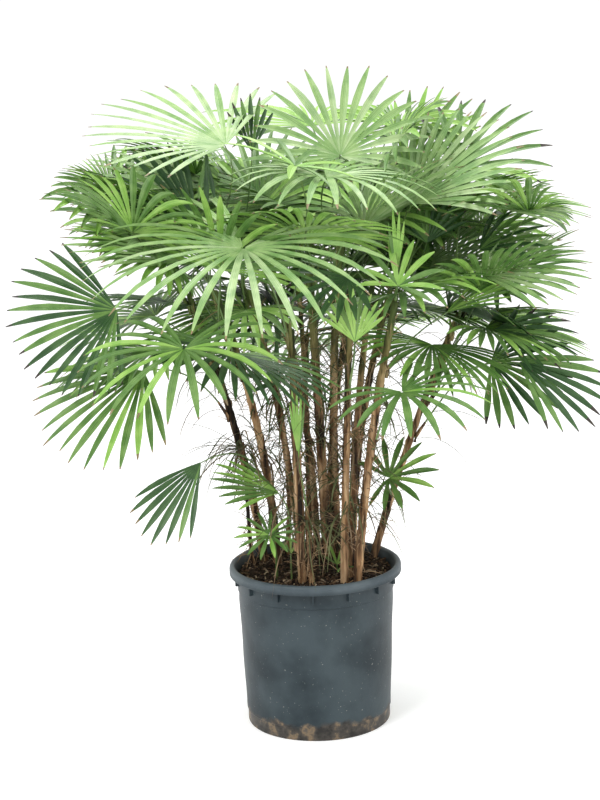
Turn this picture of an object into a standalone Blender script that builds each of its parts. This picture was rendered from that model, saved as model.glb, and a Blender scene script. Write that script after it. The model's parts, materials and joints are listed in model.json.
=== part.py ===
"""A potted rhapis multifida: a clumping fan palm, its fibrous canes standing in a round nursery pot.

Units are metres and +Z is up. The origin is the middle of the pot's flat underside. Low x is on the left and
low y is nearest for someone who looks at the plant from its front.
"""
import math
import random

import bmesh
import bpy
from mathutils import Vector
from mathutils.bvhtree import BVHTree

# Driving dimensions of the pot
POT_HEIGHT = 0.424
POT_SIDES = 36
FOOT_RADIUS = 0.188
WALL_FOOT_RADIUS = 0.1905
WALL_TOP_RADIUS = 0.2045
RIM_RADIUS = 0.225
RIM_DEPTH = 0.026
RIM_EDGE = 0.003
RIM_BAND = 0.010
LIP_WIDTH = 0.011
LIP_FALL = 0.012
FOOT_BAND = 0.036
FOOT_EDGE = 0.003
SKIRT_DROP = 0.066
SKIRT_STEP = 0.0015
WALL = 0.0045
FLOOR = 0.008
FIN_COUNT = 14
FIN_WIDTH = 0.006
FIN_REACH = 0.0085
FIN_DROP = 0.024
FIN_SINK = 0.001
FIN_START = 0.4
SOIL_TOP = 0.400

# Clearance between pieces that touch on the real plant, and between leaves that pass each other
SEAT_GAP = 0.0003
LEAF_GAP = 0.0012

# Canes: foot x, y on the soil; a point half way; the tip; radius at the foot
CANE_SIDES = 6
CANE_STEPS = 5
CANE_TAPER = 0.72
CANES = {
    "cane_front_left": ((-0.033, -0.111), (-0.039, -0.130, 0.715), (-0.045, -0.120, 1.060), 0.0125),
    "cane_front_shoot": ((-0.011, -0.122), (-0.015, -0.124, 0.490), (-0.018, -0.130, 0.590), 0.0075),
    "cane_middle": ((0.033, 0.100), (0.025, 0.075, 0.700), (0.005, 0.000, 1.200), 0.0140),
    "cane_middle_left": ((0.007, 0.128), (0.000, 0.140, 0.620), (-0.090, 0.220, 1.170), 0.0100),
    "cane_middle_right": ((0.064, 0.118), (0.059, 0.125, 0.700), (0.090, 0.110, 1.250), 0.0125),
    "cane_front_middle": ((0.072, -0.125), (0.087, -0.130, 0.780), (0.105, -0.150, 1.130), 0.0105),
    "cane_inner_right": ((0.094, -0.080), (0.106, -0.082, 0.700), (0.165, -0.010, 1.150), 0.0100),
    "cane_front_right": ((0.105, -0.133), (0.138, -0.146, 0.700), (0.212, -0.195, 1.130), 0.0120),
    "cane_right_leaning": ((0.155, 0.095), (0.228, 0.120, 0.620), (0.395, 0.125, 1.050), 0.0110),
    "cane_left": ((-0.100, 0.060), (-0.129, 0.035, 0.720), (-0.235, -0.030, 1.150), 0.0120),
    "cane_left_outer": ((-0.135, 0.100), (-0.185, 0.090, 0.700), (-0.300, 0.040, 1.120), 0.0115),
    "cane_dark_leaning": ((-0.037, 0.098), (-0.068, 0.100, 0.700), (-0.150, 0.100, 1.130), 0.0100),
    "cane_back_thin": ((-0.014, 0.165), (-0.010, 0.180, 0.620), (-0.020, 0.290, 1.080), 0.0085),
    "cane_back": ((0.047, 0.165), (0.055, 0.190, 0.680), (0.120, 0.330, 1.060), 0.0100),
    "cane_back_right": ((0.100, 0.025), (0.122, 0.060, 0.700), (0.235, 0.200, 1.150), 0.0110),
    "cane_thin_left": ((-0.165, 0.050), (-0.173, 0.050, 0.560), (-0.180, 0.040, 0.740), 0.0055),
    "cane_thin_back": ((-0.075, 0.150), (-0.064, 0.150, 0.580), (-0.110, 0.230, 0.950), 0.0070),
}

# Tufts: the cane, the height at which its petioles leave it, and the fronds.
# Frond: hub x, y, z; azimuth, elevation and roll of the blade in degrees; blade radius; fan angle; number of
# leaflets on the real frond; droop.
TUFTS = {
    "fronds_front_left_top": ("cane_front_left", 1.000, (
        (-0.150, -0.300, 1.285, -115, -20, -8, 0.43, 280, 24, 0.9),
        (-0.022, -0.250, 1.470, 150, 20, 0, 0.20, 300, 9, 0.5))),
    "fronds_middle_top": ("cane_middle", 1.150, (
        (0.090, -0.050, 1.478, 90, 60, 0, 0.25, 240, 22, 0.5),)),
    "fronds_left_top": ("cane_left", 1.110, (
        (-0.193, 0.000, 1.510, 155, 8, -18, 0.38, 180, 18, 0.3),
        (-0.273, 0.000, 1.320, 175, 35, -50, 0.25, 90, 11, 0.2),
        (-0.243, -0.030, 1.495, -90, -80, 0, 0.16, 20, 3, 0.1))),
    "fronds_left_outer_top": ("cane_left_outer", 1.120, (
        (-0.475, -0.100, 1.118, 190, -18, -55, 0.29, 150, 18, 0.3),
        (-0.270, 0.050, 1.402, 170, 8, -20, 0.27, 80, 8, 0.2))),
    "fronds_left_middle": ("cane_left", 0.920, (
        (-0.297, -0.350, 1.057, -105, -25, 0, 0.29, 280, 18, 1.0),
        (-0.289, -0.100, 1.232, 185, 8, -20, 0.33, 80, 11, 0.3))),
    "fronds_left_outer_middle": ("cane_left_outer", 0.800, (
        (-0.411, -0.150, 0.971, -145, -40, -30, 0.32, 115, 14, 0.4),)),
    "fronds_left_low": ("cane_left", 0.620, (
        (-0.273, -0.250, 0.759, -150, -45, -60, 0.25, 55, 8, 0.3),)),
    "fronds_front_middle_top": ("cane_front_middle", 1.080, (
        (0.051, -0.200, 1.439, -50, -10, 0, 0.31, 280, 20, 1.0),
        (0.098, -0.200, 1.194, -150, -30, -30, 0.17, 150, 9, 0.5))),
    "fronds_front_middle": ("cane_front_middle", 0.880, (
        (0.108, -0.300, 1.053, 90, 60, 0, 0.13, 100, 11, 0.2),)),
    "fronds_front_right_tip": ("cane_front_right", 1.130, (
        (0.216, -0.250, 1.177, 60, 50, 20, 0.13, 200, 9, 0.6),
        (0.216, -0.200, 1.190, 90, 88, 0, 0.18, 16, 4, 0.0))),
    "fronds_front_right_middle": ("cane_front_right", 0.950, (
        (0.345, -0.100, 1.088, 10, 15, 20, 0.20, 60, 8, 0.3),)),
    "fronds_front_right_low": ("cane_front_right", 0.750, (
        (0.218, -0.300, 0.928, -50, -12, 10, 0.24, 260, 15, 0.9),)),
    "fronds_inner_right_top": ("cane_inner_right", 1.090, (
        (0.266, -0.050, 1.354, 20, 35, 30, 0.32, 120, 18, 0.5),
        (0.421, -0.050, 1.179, 0, -2, 25, 0.30, 110, 14, 0.4))),
    "fronds_back_right_top": ("cane_back_right", 1.050, (
        (0.386, 0.050, 1.430, 20, 25, 35, 0.26, 160, 12, 0.5),
        (0.265, 0.200, 1.415, 40, 45, 20, 0.27, 90, 10, 0.3),
        (0.306, 0.000, 1.250, 80, 60, 0, 0.15, 120, 11, 0.3))),
    "fronds_right_leaning_top": ("cane_right_leaning", 0.990, (
        (0.425, 0.000, 1.345, 0, -10, 15, 0.31, 70, 10, 0.4),
        (0.442, 0.050, 1.223, 0, 15, 25, 0.21, 120, 9, 0.5))),
    "fronds_right_leaning_middle": ("cane_right_leaning", 0.800, (
        (0.473, 0.000, 1.025, -10, -20, 30, 0.24, 90, 9, 0.4),
        (0.530, -0.050, 0.947, -10, -35, 50, 0.26, 80, 9, 0.3))),
    "fronds_right_leaning_low": ("cane_right_leaning", 0.720, (
        (0.470, 0.050, 0.933, -10, -15, 70, 0.22, 160, 14, 0.3),)),
    "fronds_right_leaning_foot": ("cane_right_leaning", 0.550, (
        (0.195, -0.050, 0.655, 0, 15, 35, 0.14, 260, 12, 0.4),)),
    "fronds_dark_leaning_top": ("cane_dark_leaning", 1.040, (
        (-0.131, 0.100, 1.485, 90, 70, 0, 0.15, 60, 7, 0.1),)),
    "fronds_front_left_middle": ("cane_front_left", 0.780, (
        (-0.087, -0.050, 0.909, 150, 50, -10, 0.14, 170, 8, 0.3),)),
    "fronds_front_left_low": ("cane_front_left", 0.500, (
        (-0.087, -0.120, 0.642, 185, 10, -30, 0.19, 80, 9, 0.3),)),
    "fronds_shoot_tip": ("cane_front_shoot", 0.590, (
        (-0.035, -0.150, 0.730, 90, 88, 0, 0.21, 14, 5, 0.0),)),
}

# Suckers: where they stand on the soil, and their fronds
SUCKERS = {
    "sucker_left": ((-0.100, -0.060), (
        (-0.115, -0.150, 0.541, -120, -30, -10, 0.095, 320, 14, 0.4),)),
    "sucker_middle": ((0.058, -0.040), (
        (0.056, -0.060, 0.432, 90, 75, 0, 0.060, 110, 4, 0.1),
        (0.060, -0.090, 0.428, -20, 10, 0, 0.070, 140, 4, 0.4))),
    "sucker_front": ((-0.062, -0.080), (
        (-0.062, -0.085, 0.470, 90, 80, 0, 0.055, 50, 3, 0.1),)),
}

# The rest of the crown: the canes whose backs and tops carry it, each at one or more levels below the tip
INNER_CANES = (
    "cane_back", "cane_back_thin", "cane_middle_left", "cane_back_right", "cane_middle_right", "cane_dark_leaning",
    "cane_left_outer", "cane_right_leaning")
INNER_LEVELS = (0.03, 0.20)
INNER_SPREAD = 58.0
INNER_TURN = 45
INNER_LEAFLETS = 9
INNER_REACH = (0.13, 0.25)
INNER_RISE = (0.20, 0.32)
INNER_RISE_FALL = 0.12
INNER_ELEVATION = (15, 45)
INNER_ELEVATION_FALL = 40
INNER_WANDER = 10
INNER_ROLL = 18
INNER_RADIUS = (0.27, 0.34)
INNER_FAN = (170, 230)
INNER_DROOP = (0.5, 0.9)
INNER_SEED = 7
CROWN_CENTRE = Vector((-0.020, 0.000, 1.080))
CROWN_HALF = Vector((0.760, 0.740, 0.620))
CROWN_FLOOR = 0.760

# Frond proportions. A leaflet is measured along its midrib, as a share of its length.
LEAFLET_STEP = 20.0
LINE_STEPS = 8
CUP = 0.20
SAG = 1.5
EDGE_SHORTENING = 0.20
NOTCH_AT = 0.16
BELLY_AT = 0.60
LEAFLET_WIDTH = 0.027
LEAFLET_FILL = 0.78
LEAF_KEEL = 0.0045
HUB_THICKNESS = 0.0035
PETIOLE_STEPS = 3
PETIOLE_SIDES = 3
PETIOLE_ROOT_RADIUS = 0.0036
PETIOLE_TIP_RADIUS = 0.0022
PETIOLE_LEAN = 0.35
PETIOLE_ROOT_AT = 0.35
PETIOLE_ROOT_STEP = 0.12
PETIOLE_INTO_BLADE = 0.003
PETIOLE_UNDER_BLADE = 0.0005
SHEATH_SIDES = 5
SHEATH_RADIUS = 0.0062
SHEATH_NARROWING = 0.75
SHEATH_LENGTH = 0.030

# Where a place or a leaflet is taken: the probes are this much fuller than the solid, a leaflet that has no room
# is shortened to these shares, and a blade with no room is tried at these places beside its own.
SEAT_ROUNDS = 4
SEAT_PROBES = (0, 0.25, 0.5, 0.75, 1)
SEAT_START = 0.004
NEARLY_IN_LINE = 0.2
PROBE_HUB = 1.08
SHORTENED = (1.0, 0.85, 0.70, 0.55, 0.42)
NUDGES = ((0, 0, 0), (0, 0, 0.02), (0.02, 0, 0), (-0.02, 0, 0), (0, 0.02, 0), (0, 0, -0.02), (0, -0.02, 0),
          (0.03, 0.03, 0.02), (-0.03, 0.03, 0.02), (0, 0.04, 0.03), (0, -0.04, 0.03), (0, 0, 0.05))

UP = Vector((0, 0, 1))


class Solids:
    """The solids placed so far, for asking whether a new one would touch them."""

    def __init__(self):
        self.placed = []

    @staticmethod
    def box(points):
        low = [min(p[axis] for p in points) for axis in range(3)]
        high = [max(p[axis] for p in points) for axis in range(3)]
        return low, high

    def add(self, owner, points, faces):
        tree = BVHTree.FromPolygons(points, faces)
        self.placed.append((owner, self.box(points), tree))

    def touches(self, points, faces, but):
        low, high = self.box(points)
        probe = BVHTree.FromPolygons(points, faces)
        for owner, (other_low, other_high), tree in self.placed:
            if owner in but:
                continue
            if any(high[a] < other_low[a] or low[a] > other_high[a] for a in range(3)):
                continue
            if probe.overlap(tree):
                return True
        return False


def make_material(name, colour, roughness):
    material = bpy.data.materials.new(name)
    material.use_nodes = True
    shader = material.node_tree.nodes["Principled BSDF"]
    shader.inputs["Base Color"].default_value = (*colour, 1.0)
    shader.inputs["Roughness"].default_value = roughness
    shader.inputs["Metallic"].default_value = 0.0
    return material


def make_object(name, points, faces, material):
    """A closed mesh from points and faces, its faces turned outward."""
    mesh = bpy.data.meshes.new(name)
    build = bmesh.new()
    corners = [build.verts.new(point) for point in points]
    for face in faces:
        build.faces.new([corners[index] for index in face])
    bmesh.ops.recalc_face_normals(build, faces=build.faces)
    bmesh.ops.triangulate(build, faces=build.faces)
    build.to_mesh(mesh)
    build.free()
    mesh.materials.append(material)
    thing = bpy.data.objects.new(name, mesh)
    bpy.context.scene.collection.objects.link(thing)
    return thing


def open_edges(mesh):
    build = bmesh.new()
    build.from_mesh(mesh)
    count = sum(1 for edge in build.edges if not edge.is_manifold)
    build.free()
    return count


def keep_largest_piece(mesh):
    """Drops the loose scraps that a union can leave."""
    build = bmesh.new()
    build.from_mesh(mesh)
    unseen = set(build.verts)
    pieces = []
    while unseen:
        front = [unseen.pop()]
        piece = set(front)
        while front:
            vertex = front.pop()
            for edge in vertex.link_edges:
                other = edge.other_vert(vertex)
                if other in unseen:
                    unseen.remove(other)
                    piece.add(other)
                    front.append(other)
        pieces.append(piece)
    largest = max(pieces, key=len)
    scraps = [vertex for vertex in build.verts if vertex not in largest]
    bmesh.ops.delete(build, geom=scraps, context="VERTS")
    build.to_mesh(mesh)
    build.free()


def join_solids(name, parts, material):
    """One Boolean union of all parts, applied, with the parts then removed."""
    base = parts[0]
    joined = None
    group = bpy.data.collections.new(name + "_parts")
    for part in parts[1:]:
        group.objects.link(part)
    for solver in ("EXACT", "MANIFOLD"):
        union = base.modifiers.new("union", "BOOLEAN")
        union.operation = "UNION"
        union.operand_type = "COLLECTION"
        union.collection = group
        union.solver = solver
        bpy.context.view_layer.update()
        evaluated = base.evaluated_get(bpy.context.evaluated_depsgraph_get())
        joined = bpy.data.meshes.new_from_object(evaluated)
        base.modifiers.remove(union)
        if open_edges(joined) == 0:
            break
    for part in parts:
        bpy.data.objects.remove(part, do_unlink=True)
    bpy.data.collections.remove(group)
    keep_largest_piece(joined)
    joined.materials.clear()
    joined.materials.append(material)
    joined.name = name
    thing = bpy.data.objects.new(name, joined)
    bpy.context.scene.collection.objects.link(thing)
    return thing


def turned_solid(profile, sides):
    """Points and faces of a profile turned round the Z axis; it starts and ends on the axis."""
    points = [Vector((0, 0, profile[0][1]))]
    for radius, height in profile[1:-1]:
        for side in range(sides):
            angle = math.tau * side / sides
            points.append(Vector((radius * math.cos(angle), radius * math.sin(angle), height)))
    points.append(Vector((0, 0, profile[-1][1])))
    faces = []
    last = len(points) - 1
    rings = len(profile) - 2
    for side in range(sides):
        after = (side + 1) % sides
        faces.append((0, 1 + side, 1 + after))
        for ring in range(rings - 1):
            low = 1 + ring * sides
            high = low + sides
            faces.append((low + side, high + side, high + after, low + after))
        top = 1 + (rings - 1) * sides
        faces.append((top + side, last, top + after))
    return points, faces


def inner_radius(height):
    """The pot's inner wall, which opens out towards the rim."""
    slope = (WALL_TOP_RADIUS - WALL_FOOT_RADIUS) / (POT_HEIGHT - RIM_DEPTH - FOOT_BAND)
    return WALL_FOOT_RADIUS - WALL + slope * (height - FOOT_BAND)


def build_pot(material):
    under_rim = POT_HEIGHT - RIM_DEPTH
    skirt = POT_HEIGHT - SKIRT_DROP
    foot = [(0, 0), (FOOT_RADIUS - FOOT_EDGE, 0), (FOOT_RADIUS, FOOT_EDGE), (FOOT_RADIUS, FOOT_BAND - FOOT_EDGE)]
    wall = [(WALL_FOOT_RADIUS, FOOT_BAND), (WALL_TOP_RADIUS - SKIRT_STEP, skirt - SKIRT_STEP),
            (WALL_TOP_RADIUS, skirt), (WALL_TOP_RADIUS, under_rim)]
    rim = [(RIM_RADIUS - RIM_EDGE, under_rim), (RIM_RADIUS, under_rim + RIM_EDGE),
           (RIM_RADIUS, under_rim + RIM_EDGE + RIM_BAND), (RIM_RADIUS - LIP_WIDTH / 3, POT_HEIGHT - RIM_EDGE),
           (RIM_RADIUS - LIP_WIDTH, POT_HEIGHT), (inner_radius(POT_HEIGHT) + RIM_EDGE, POT_HEIGHT - RIM_EDGE)]
    inside = [(inner_radius(POT_HEIGHT - LIP_FALL), POT_HEIGHT - LIP_FALL), (inner_radius(FLOOR), FLOOR), (0, FLOOR)]
    profile = foot + wall + rim + inside
    points, faces = turned_solid(profile, POT_SIDES)
    parts = [make_object("pot_shell", points, faces, material)]
    sunk = WALL_TOP_RADIUS * math.cos(math.pi / POT_SIDES) - FIN_SINK
    for fin in range(FIN_COUNT):
        angle = math.tau * (fin + FIN_START) / FIN_COUNT
        out = Vector((math.cos(angle), math.sin(angle), 0))
        along = Vector((-math.sin(angle), math.cos(angle), 0)) * FIN_WIDTH / 2
        corners = []
        for height in (under_rim - FIN_DROP, under_rim + FIN_SINK):
            for reach, turn in ((0, -1), (0, 1), (FIN_REACH, 1), (FIN_REACH, -1)):
                corners.append(out * (sunk + reach) + along * turn + UP * height)
        box = [(0, 1, 2, 3), (4, 5, 6, 7), (0, 1, 5, 4), (1, 2, 6, 5), (2, 3, 7, 6), (3, 0, 4, 7)]
        parts.append(make_object(f"pot_fin_{fin}", corners, box, material))
    return join_solids("pot", parts, material)


def build_soil(material):
    low = FLOOR + SEAT_GAP
    profile = [(0, low), (inner_radius(low) - SEAT_GAP, low), (inner_radius(SOIL_TOP) - SEAT_GAP, SOIL_TOP),
               (0, SOIL_TOP)]
    points, faces = turned_solid(profile, POT_SIDES)
    return make_object("soil", points, faces, material)


def cane_point(name, height):
    """Where a cane's middle is at a height: a smooth bow through its foot, its half-way point and its tip."""
    foot, half, tip, _ = CANES[name]
    heights = (SOIL_TOP, half[2], tip[2])
    places = ((foot[0], foot[1]), (half[0], half[1]), (tip[0], tip[1]))
    x = y = 0.0
    for this in range(3):
        weight = 1.0
        for other in range(3):
            if other != this:
                weight *= (height - heights[other]) / (heights[this] - heights[other])
        x += weight * places[this][0]
        y += weight * places[this][1]
    return Vector((x, y, height))


def cane_heading(name, height):
    return (cane_point(name, height + 0.01) - cane_point(name, height - 0.01)).normalized()


def cane_radius(name, height):
    tip = CANES[name][2][2]
    done = (height - SOIL_TOP) / (tip - SOIL_TOP)
    return CANES[name][3] * (1 - (1 - CANE_TAPER) * done)


def tube_faces(rings, sides):
    faces = [tuple(range(sides)), tuple((rings - 1) * sides + side for side in range(sides))]
    for ring in range(rings - 1):
        low = ring * sides
        for side in range(sides):
            after = (side + 1) % sides
            faces.append((low + side, low + after, low + sides + after, low + sides + side))
    return faces


def cane_solid(name):
    foot = SOIL_TOP + SEAT_GAP
    tip = CANES[name][2][2]
    points = []
    for step in range(CANE_STEPS + 1):
        height = foot + (tip - foot) * step / CANE_STEPS
        middle = cane_point(name, height)
        radius = cane_radius(name, height)
        for side in range(CANE_SIDES):
            angle = math.tau * side / CANE_SIDES
            points.append(middle + Vector((math.cos(angle), math.sin(angle), 0)) * radius)
    return points, tube_faces(CANE_STEPS + 1, CANE_SIDES)


def blade_axes(azimuth, elevation, roll):
    """The way a blade points, its left side and its upper face."""
    turn, rise, lean = math.radians(azimuth), math.radians(elevation), math.radians(roll)
    ahead = Vector((math.cos(rise) * math.cos(turn), math.cos(rise) * math.sin(turn), math.sin(rise)))
    level = Vector((-math.sin(turn), math.cos(turn), 0))
    top = ahead.cross(level)
    return ahead, level * math.cos(lean) + top * math.sin(lean), top * math.cos(lean) - level * math.sin(lean)


def leaflet_line(hub, heading, face, length, droop):
    """A leaflet's midrib: it leaves the hub a little cupped, then its own weight bends it down."""
    points = [hub.copy()]
    way = (heading + face * CUP).normalized()
    for step in range(LINE_STEPS):
        done = (step + 0.5) / LINE_STEPS
        way = (way - UP * (droop * done * SAG / LINE_STEPS)).normalized()
        points.append(points[-1] + way * (length / LINE_STEPS))
    return points


def point_along(line, share):
    place = share * (len(line) - 1)
    index = min(int(place), len(line) - 2)
    return line[index].lerp(line[index + 1], place - index)


class Frond:
    """One frond: where its hub is, how its blade lies, and how long each leaflet may be."""

    def __init__(self, tuft, row):
        self.tuft = tuft
        self.hub = Vector(row[:3])
        self.ahead, self.side, self.face = blade_axes(*row[3:6])
        self.radius, self.fan, leaflets, self.droop = row[6:]
        self.count = max(3, min(leaflets, round(self.fan / LEAFLET_STEP) + 1))
        self.shares = [1.0] * self.count
        self.petiole = []

    def heading(self, place):
        """The way of the leaflet at a place along the fan, from 0 at its right edge to count - 1."""
        angle = math.radians(self.fan) * (place / (self.count - 1) - 0.5)
        return self.ahead * math.cos(angle) + self.side * math.sin(angle)

    def length(self, index):
        offset = 2 * index / (self.count - 1) - 1
        return self.radius * (1 - EDGE_SHORTENING * offset * offset)

    def line(self, index, share=1.0):
        return leaflet_line(self.hub, self.heading(index), self.face, self.length(index) * share, self.droop)

    def notch(self, index):
        """The end of the slit before leaflet index, or the blade's outer edge at either end of the fan."""
        line = leaflet_line(self.hub, self.heading(index - 0.5), self.face, self.radius, self.droop)
        return point_along(line, NOTCH_AT)

    def belly_width(self):
        spacing = math.radians(self.fan) / (self.count - 1) * self.radius * BELLY_AT
        return min(LEAFLET_WIDTH, LEAFLET_FILL * spacing)

    def hub_solid(self):
        """The undivided middle of the blade, a little fuller than it is, for trying its place."""
        below = self.face * (LEAF_KEEL + LEAF_GAP)
        points = [self.hub + self.face * (HUB_THICKNESS + LEAF_GAP), self.hub - below]
        for index in range(self.count + 1):
            points.append(self.hub + (self.notch(index) - self.hub) * PROBE_HUB)
        faces = []
        for index in range(self.count):
            right, left, keel = 2 + index, 3 + index, len(points)
            root = point_along(self.line(index), NOTCH_AT)
            points.append(self.hub + (root - self.hub) * PROBE_HUB - below)
            faces += [(0, right, left), (1, keel, right), (1, left, keel), (right, keel, left)]
        return points, faces

    def leaflet_probe(self, index, share):
        """A leaflet from its slits to its tip, a little fuller than it is."""
        line = self.line(index)
        foot = (self.notch(index + 1) - self.notch(index)).length / 2
        belly = self.belly_width() / 2
        across = self.heading(index).cross(self.face).normalized()
        points = []
        for at, half in ((NOTCH_AT, foot), (BELLY_AT * share, belly), (share, 0)):
            middle = point_along(line, at)
            wide = half + LEAF_GAP
            points += [middle - across * wide, middle + self.face * LEAF_GAP, middle + across * wide,
                       middle - self.face * (LEAF_KEEL + LEAF_GAP)]
        return points, tube_faces(3, 4)

    def blade_solid(self):
        """The blade: a shallow keel under each leaflet, slit between leaflets down to the notches."""
        points = [self.hub + self.face * HUB_THICKNESS, self.hub - self.face * LEAF_KEEL]
        notches = []
        for index in range(self.count + 1):
            notches.append(len(points))
            points.append(self.notch(index))
        faces = [(0, 1, notches[0]), (0, notches[-1], 1)]
        half = self.belly_width() / 2
        for index in range(self.count):
            right, left = notches[index], notches[index + 1]
            line = self.line(index)
            root_keel = len(points)
            points.append(point_along(line, NOTCH_AT) - self.face * LEAF_KEEL)
            faces += [(0, right, left), (1, root_keel, right), (1, left, root_keel)]
            share = self.shares[index]
            if share == 0:
                faces.append((right, root_keel, left))
                continue
            across = self.heading(index).cross(self.face).normalized()
            belly = point_along(line, BELLY_AT * share)
            points += [belly + across * half, belly - across * half, belly - self.face * LEAF_KEEL,
                       point_along(line, share)]
            belly_right, belly_left, belly_keel, tip = range(root_keel + 1, root_keel + 5)
            faces += [
                (right, belly_right, belly_left), (right, belly_left, left), (belly_right, tip, belly_left),
                (right, root_keel, belly_keel), (right, belly_keel, belly_right),
                (root_keel, left, belly_left), (root_keel, belly_left, belly_keel),
                (belly_right, belly_keel, tip), (belly_keel, belly_left, tip)]
        return points, faces

    def lay_petiole(self, root, rise):
        """The petiole: it rises beside the cane, then leans over into the blade."""
        reach = (self.hub - root).length
        end = self.hub + self.ahead * PETIOLE_INTO_BLADE - self.face * PETIOLE_UNDER_BLADE
        arrive = ((self.hub - root).normalized() + self.ahead).normalized() * reach
        depart = rise.normalized() * reach
        self.petiole = []
        for step in range(PETIOLE_STEPS + 1):
            t = step / PETIOLE_STEPS
            self.petiole.append(
                root * (2 * t**3 - 3 * t**2 + 1) + depart * (t**3 - 2 * t**2 + t)
                + end * (3 * t**2 - 2 * t**3) + arrive * (t**3 - t**2))

    def petiole_solid(self, margin=0.0):
        path = self.petiole
        tangents = []
        for step in range(len(path)):
            before = path[max(step - 1, 0)]
            after = path[min(step + 1, len(path) - 1)]
            tangents.append((after - before).normalized())
        normal = self.side.cross(tangents[0])
        if normal.length < NEARLY_IN_LINE:
            normal = self.ahead.cross(tangents[0])
        points = []
        for step, (middle, tangent) in enumerate(zip(path, tangents)):
            normal = (normal - tangent * normal.dot(tangent)).normalized()
            level = tangent.cross(normal)
            done = step / PETIOLE_STEPS
            radius = PETIOLE_ROOT_RADIUS + (PETIOLE_TIP_RADIUS - PETIOLE_ROOT_RADIUS) * done + margin
            for side in range(PETIOLE_SIDES):
                angle = math.tau * side / PETIOLE_SIDES
                points.append(middle + (normal * math.cos(angle) + level * math.sin(angle)) * radius)
        return points, tube_faces(len(path), PETIOLE_SIDES)


def within_crown(point):
    """Whether a point lies inside the crown's rounded outline."""
    offset = point - CROWN_CENTRE
    squares = sum((offset[axis] / CROWN_HALF[axis]) ** 2 for axis in range(3))
    return squares < 1 and point.z > CROWN_FLOOR


def sheath_solid(foot, heading, outward):
    """A short sheath that narrows upwards; one of its edges faces the cane."""
    level = heading.cross(outward).normalized()
    out = level.cross(heading).normalized()
    points = []
    for share, narrowing in ((0.0, 1.0), (1.0, SHEATH_NARROWING)):
        for side in range(SHEATH_SIDES):
            angle = math.pi + math.tau * side / SHEATH_SIDES
            offset = (out * math.cos(angle) + level * math.sin(angle)) * SHEATH_RADIUS * narrowing
            points.append(foot + heading * SHEATH_LENGTH * share + offset)
    return points, tube_faces(2, SHEATH_SIDES)


def seat_sheath(cane_tree, start, heading, outward):
    """Moves a sheath towards its cane until its facing edge is the seat gap away."""
    foot = start.copy()
    for _ in range(SEAT_ROUNDS):
        points, _faces = sheath_solid(foot, heading, outward)
        low, high = points[0], points[SHEATH_SIDES]
        nearest = min(cane_tree.find_nearest(low.lerp(high, share))[3] for share in SEAT_PROBES)
        foot -= outward * (nearest - SEAT_GAP)
    return foot


class Tuft:
    """The fronds that share one sheath, which become one solid."""

    def __init__(self, name, root, heading, outward, rows):
        self.name = name
        self.root = root
        self.heading = heading
        self.outward = outward
        self.fronds = [Frond(name, row) for row in rows]
        self.sheath = sheath_solid(root, heading, outward)

    def petiole_root(self, order):
        return self.root + self.heading * SHEATH_LENGTH * (PETIOLE_ROOT_AT + PETIOLE_ROOT_STEP * order)


def standing_tuft(name, place, rows):
    """A tuft that stands on top of something flat: a cane's tip or the soil."""
    root = Vector(place) + UP * SEAT_GAP
    return Tuft(name, root, UP.copy(), Vector((0, -1, 0)), rows)


def side_tuft(name, cane, height, rows, cane_trees):
    middle = cane_point(cane, height)
    hubs = sum((Vector(row[:3]) for row in rows), Vector()) / len(rows)
    outward = hubs - middle
    outward.z = 0
    outward.normalize()
    heading = cane_heading(cane, height)
    outward = (outward - heading * outward.dot(heading)).normalized()
    start = middle + outward * (cane_radius(cane, height) + SHEATH_RADIUS + SEAT_START)
    root = seat_sheath(cane_trees[cane], start, heading, outward)
    return Tuft(name, root, heading, outward, rows)


def inner_rows(cane, height, bearing, level, random_source):
    """Three fronds that fan out from one place on a cane, low ones hanging and high ones lifted."""
    rows = []
    middle = cane_point(cane, height)
    for turn in (-INNER_SPREAD, 0.0, INNER_SPREAD):
        way = bearing + turn + random_source.uniform(-INNER_WANDER, INNER_WANDER)
        reach = random_source.uniform(*INNER_REACH)
        rise = random_source.uniform(*INNER_RISE) - INNER_RISE_FALL * level
        hub = middle + Vector((math.cos(math.radians(way)), math.sin(math.radians(way)), 0)) * reach + UP * rise
        elevation = random_source.uniform(*INNER_ELEVATION) - INNER_ELEVATION_FALL * level
        roll = random_source.uniform(-INNER_ROLL, INNER_ROLL)
        radius = random_source.uniform(*INNER_RADIUS)
        fan = random_source.uniform(*INNER_FAN)
        droop = random_source.uniform(*INNER_DROOP)
        rows.append((hub.x, hub.y, hub.z, way, elevation, roll, radius, fan, INNER_LEAFLETS, droop))
    return rows


def plan_tufts(cane_trees):
    tufts = []
    for name, (cane, height, rows) in TUFTS.items():
        tip = CANES[cane][2]
        if height >= tip[2]:
            tufts.append(standing_tuft(name, tip, rows))
        else:
            tufts.append(side_tuft(name, cane, height, rows, cane_trees))
    for name, (place, rows) in SUCKERS.items():
        tufts.append(standing_tuft(name, (*place, SOIL_TOP), rows))
    random_source = random.Random(INNER_SEED)
    for order, cane in enumerate(INNER_CANES):
        tip = Vector(CANES[cane][2])
        outward = math.degrees(math.atan2(tip.y, tip.x))
        for level, drop in enumerate(INNER_LEVELS):
            bearing = outward + INNER_TURN * level * (1 if (order + level) % 2 else -1)
            height = tip.z - drop
            rows = inner_rows(cane, height, bearing, level, random_source)
            name = cane.replace("cane", "fronds") + ("_upper", "_lower")[level]
            tufts.append(side_tuft(name, cane, height, rows, cane_trees))
    return tufts


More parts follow.
